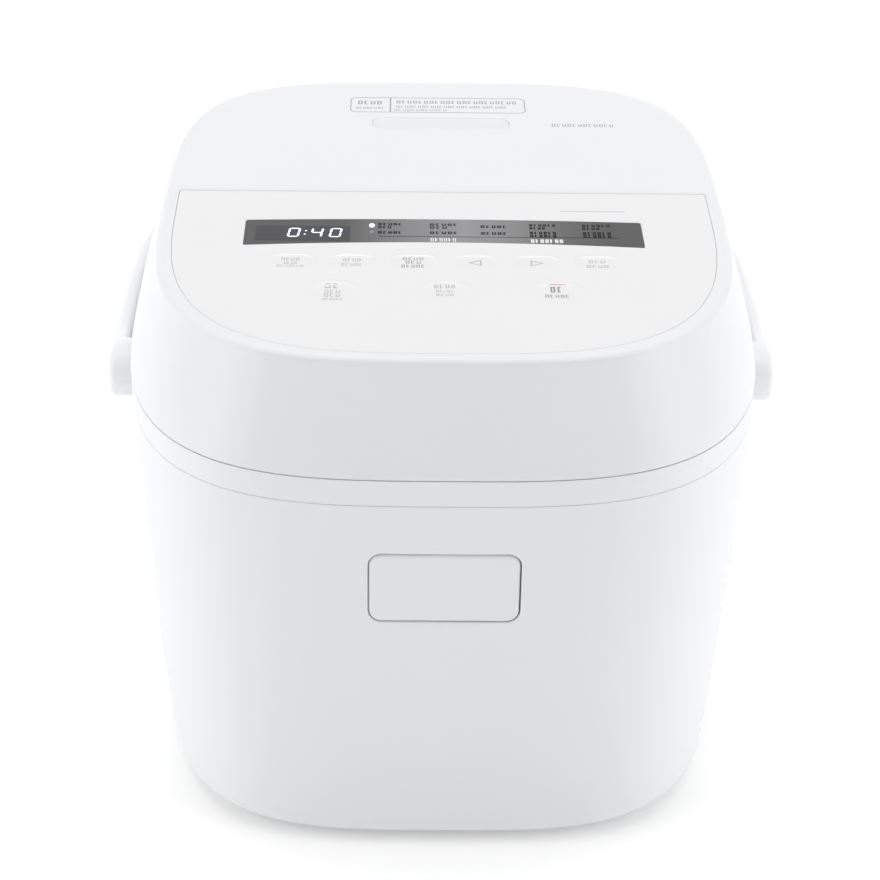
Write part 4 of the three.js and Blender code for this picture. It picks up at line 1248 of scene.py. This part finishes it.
def mains_inlet():
    """The socket for the cord at the rear: a collar that follows the housing, a well and two contacts."""
    bm = bmesh.new()

    def face(points, depth):
        return add_loop(bm, [(x, depth_at(body_section(z), x) - depth, z) for x, z in points])

    def flat(points, y):
        return add_loop(bm, [(x, y, z) for x, z in points])

    collar = rounded_rect(INLET_X - INLET_HALF, INLET_X + INLET_HALF, INLET_Z0, INLET_Z1, 2.2)
    well = rounded_rect(INLET_X - WELL_HALF, INLET_X + WELL_HALF, INLET_Z0 + WELL_RIM, INLET_Z1 - WELL_RIM, 5)
    rows = [flat(collar, INLET_BACK)]
    rows += [face(offset(collar, inset), drop + 0.1) for inset, drop in quarter(0.6, 4)]
    bridge_all(bm, rows)
    inner = [face(offset(well, -2.2), 0.1), face(offset(well, -0.5), 0.1), face(well, 0.6),
             flat(well, WELL_FLOOR)]
    bridge_all(bm, inner)
    cap_between(bm, rows[-1], inner[0])
    cap(bm, rows[0])
    cap(bm, inner[-1])
    middle = (INLET_Z0 + INLET_Z1) / 2
    for side in (-1, 1):
        close_ends(bm, [flat(circle(radius, 24, INLET_X + side * 6, middle), y)
                        for y, radius in ((WELL_FLOOR - 0.1, 2.0), (129.4, 2.0), (129.9, 1.8), (130, 1.4))])
    make_piece("mains_inlet", bm, DARK, "body", ["power_inlet"], sharp=40)


def cap_between(bm, outer, inner):
    """The nearly flat face between two upright loops that share no corners."""
    corners = [*outer, *inner]
    flat = [[Vector((vertex.co.x, vertex.co.z, 0)) for vertex in loop] for loop in (outer, inner)]
    for triangle in tessellate_polygon(flat):
        if len(set(triangle)) == 3:
            bm.faces.new([corners[i] for i in triangle])


# ------------------------------------------------------------------ pieces that stay as they are


def paint_inner_pieces():
    finishes = {"white_housing": HOUSING, "panel_film": FILM, "inner_plastic": INNER, "dark_window": SMOKED,
                "black_plastic": DARK, "circuit_board": CIRCUIT, "steel": STEEL, "aluminium": ALUMINIUM,
                "pot_coating": COATING, "copper": COPPER, "rubber_feet": RUBBER, "silicone_seal": SILICONE}
    for row in frame["record"]["subparts"]:
        shade(frame["nodes"][row["node"]].data, finishes[row["material_slot"]], 30)


# ------------------------------------------------------------------ camera, floor and light


def camera():
    """In front and a little to the left, looking down at the control panel with a long lens."""
    elevation, yaw, roll, distance = 0.48164, -0.017, 0.015, 1095.5
    back = Vector((sin(yaw) * cos(elevation), -cos(yaw) * cos(elevation), sin(elevation)))
    right = Vector((cos(yaw), sin(yaw), 0))
    up = back.cross(right)
    tilted_right = cos(roll) * right + sin(roll) * up
    tilted_up = cos(roll) * up - sin(roll) * right
    lens = bpy.data.cameras.new("camera")
    lens.sensor_width = 36
    lens.lens = 113.4
    lens.clip_start, lens.clip_end = 0.05, 50
    holder = add_object("camera", lens)
    turn = Matrix((tilted_right, tilted_up, back)).transposed().to_4x4()
    holder.matrix_world = Matrix.Translation(at(0.185, 0, 93.1) + back * distance / 1000) @ turn
    bpy.context.scene.camera = holder


def floor():
    bm = bmesh.new()
    bmesh.ops.create_grid(bm, x_segments=1, y_segments=1, size=6)
    mesh = bpy.data.meshes.new("floor")
    bm.to_mesh(mesh)
    bm.free()
    material, tree, shader = new_material("pale_floor")
    tone = two_tone(tree, noise(tree, 400), (0.93, 0.93, 0.93), 0.92 / 0.93)
    tree.links.new(tone, shader.inputs["Base Color"])
    preset(shader, Roughness=0.9, Specular_IOR_Level=0.1, Emission_Color=(1, 1, 1, 1), Emission_Strength=0.17)
    mesh.materials.append(material)
    add_object("floor", mesh)


def area_light(name, place, target, size, power):
    light = bpy.data.lights.new(name, "AREA")
    light.shape = "RECTANGLE"
    light.size, light.size_y = size
    light.energy = power
    holder = add_object(name, light)
    holder.location = place
    aim = Vector(target) - Vector(place)
    holder.rotation_euler = aim.to_track_quat("-Z", "Y").to_euler()


def lighting():
    """A pale room that is darker towards its front, with soft boxes above, at both sides and behind."""
    world = bpy.data.worlds.new("studio")
    bpy.context.scene.world = world
    world.use_nodes = True
    tree = world.node_tree
    background = tree.nodes["Background"]
    preset(background, Color=(1, 1, 1, 1))
    split = tree.nodes.new("ShaderNodeSeparateXYZ")
    tree.links.new(tree.nodes.new("ShaderNodeTexCoord").outputs["Generated"], split.inputs["Vector"])
    strength = between(tree, split.outputs["Y"], 0.05, 0.74, -1, 0.6)
    tree.links.new(strength, background.inputs["Strength"])
    area_light("top_softbox", (0, 0.3, 2.1), (0, 0, 0.1), (2.4, 2.4), 24)
    area_light("left_softbox", (-1.6, -0.72, 0.7), (0, 0, 0.1), (1.0, 1.6), 15)
    area_light("right_softbox", (1.6, -0.72, 0.7), (0, 0, 0.1), (1.0, 1.6), 15)
    area_light("rear_strip", (0, 1.9, 0.42), (0, 0, 0.2), (1.8, 0.22), 3)
    view = bpy.context.scene.view_settings
    view.view_transform = "Standard"
    view.look = "None"


# ------------------------------------------------------------------ the whole

camera()
floor()
lighting()
paint_inner_pieces()
housing_shell()
upper_frame()
lid_cover()
panel_film()
for key in KEYS:
    key_cap(key)
display_strip()
key_legends()
deck_print()
vent_insert()
front_button()
carrying_handle()
cooking_pot()
inner_cover()
lid_underside()
base()
mains_inlet()
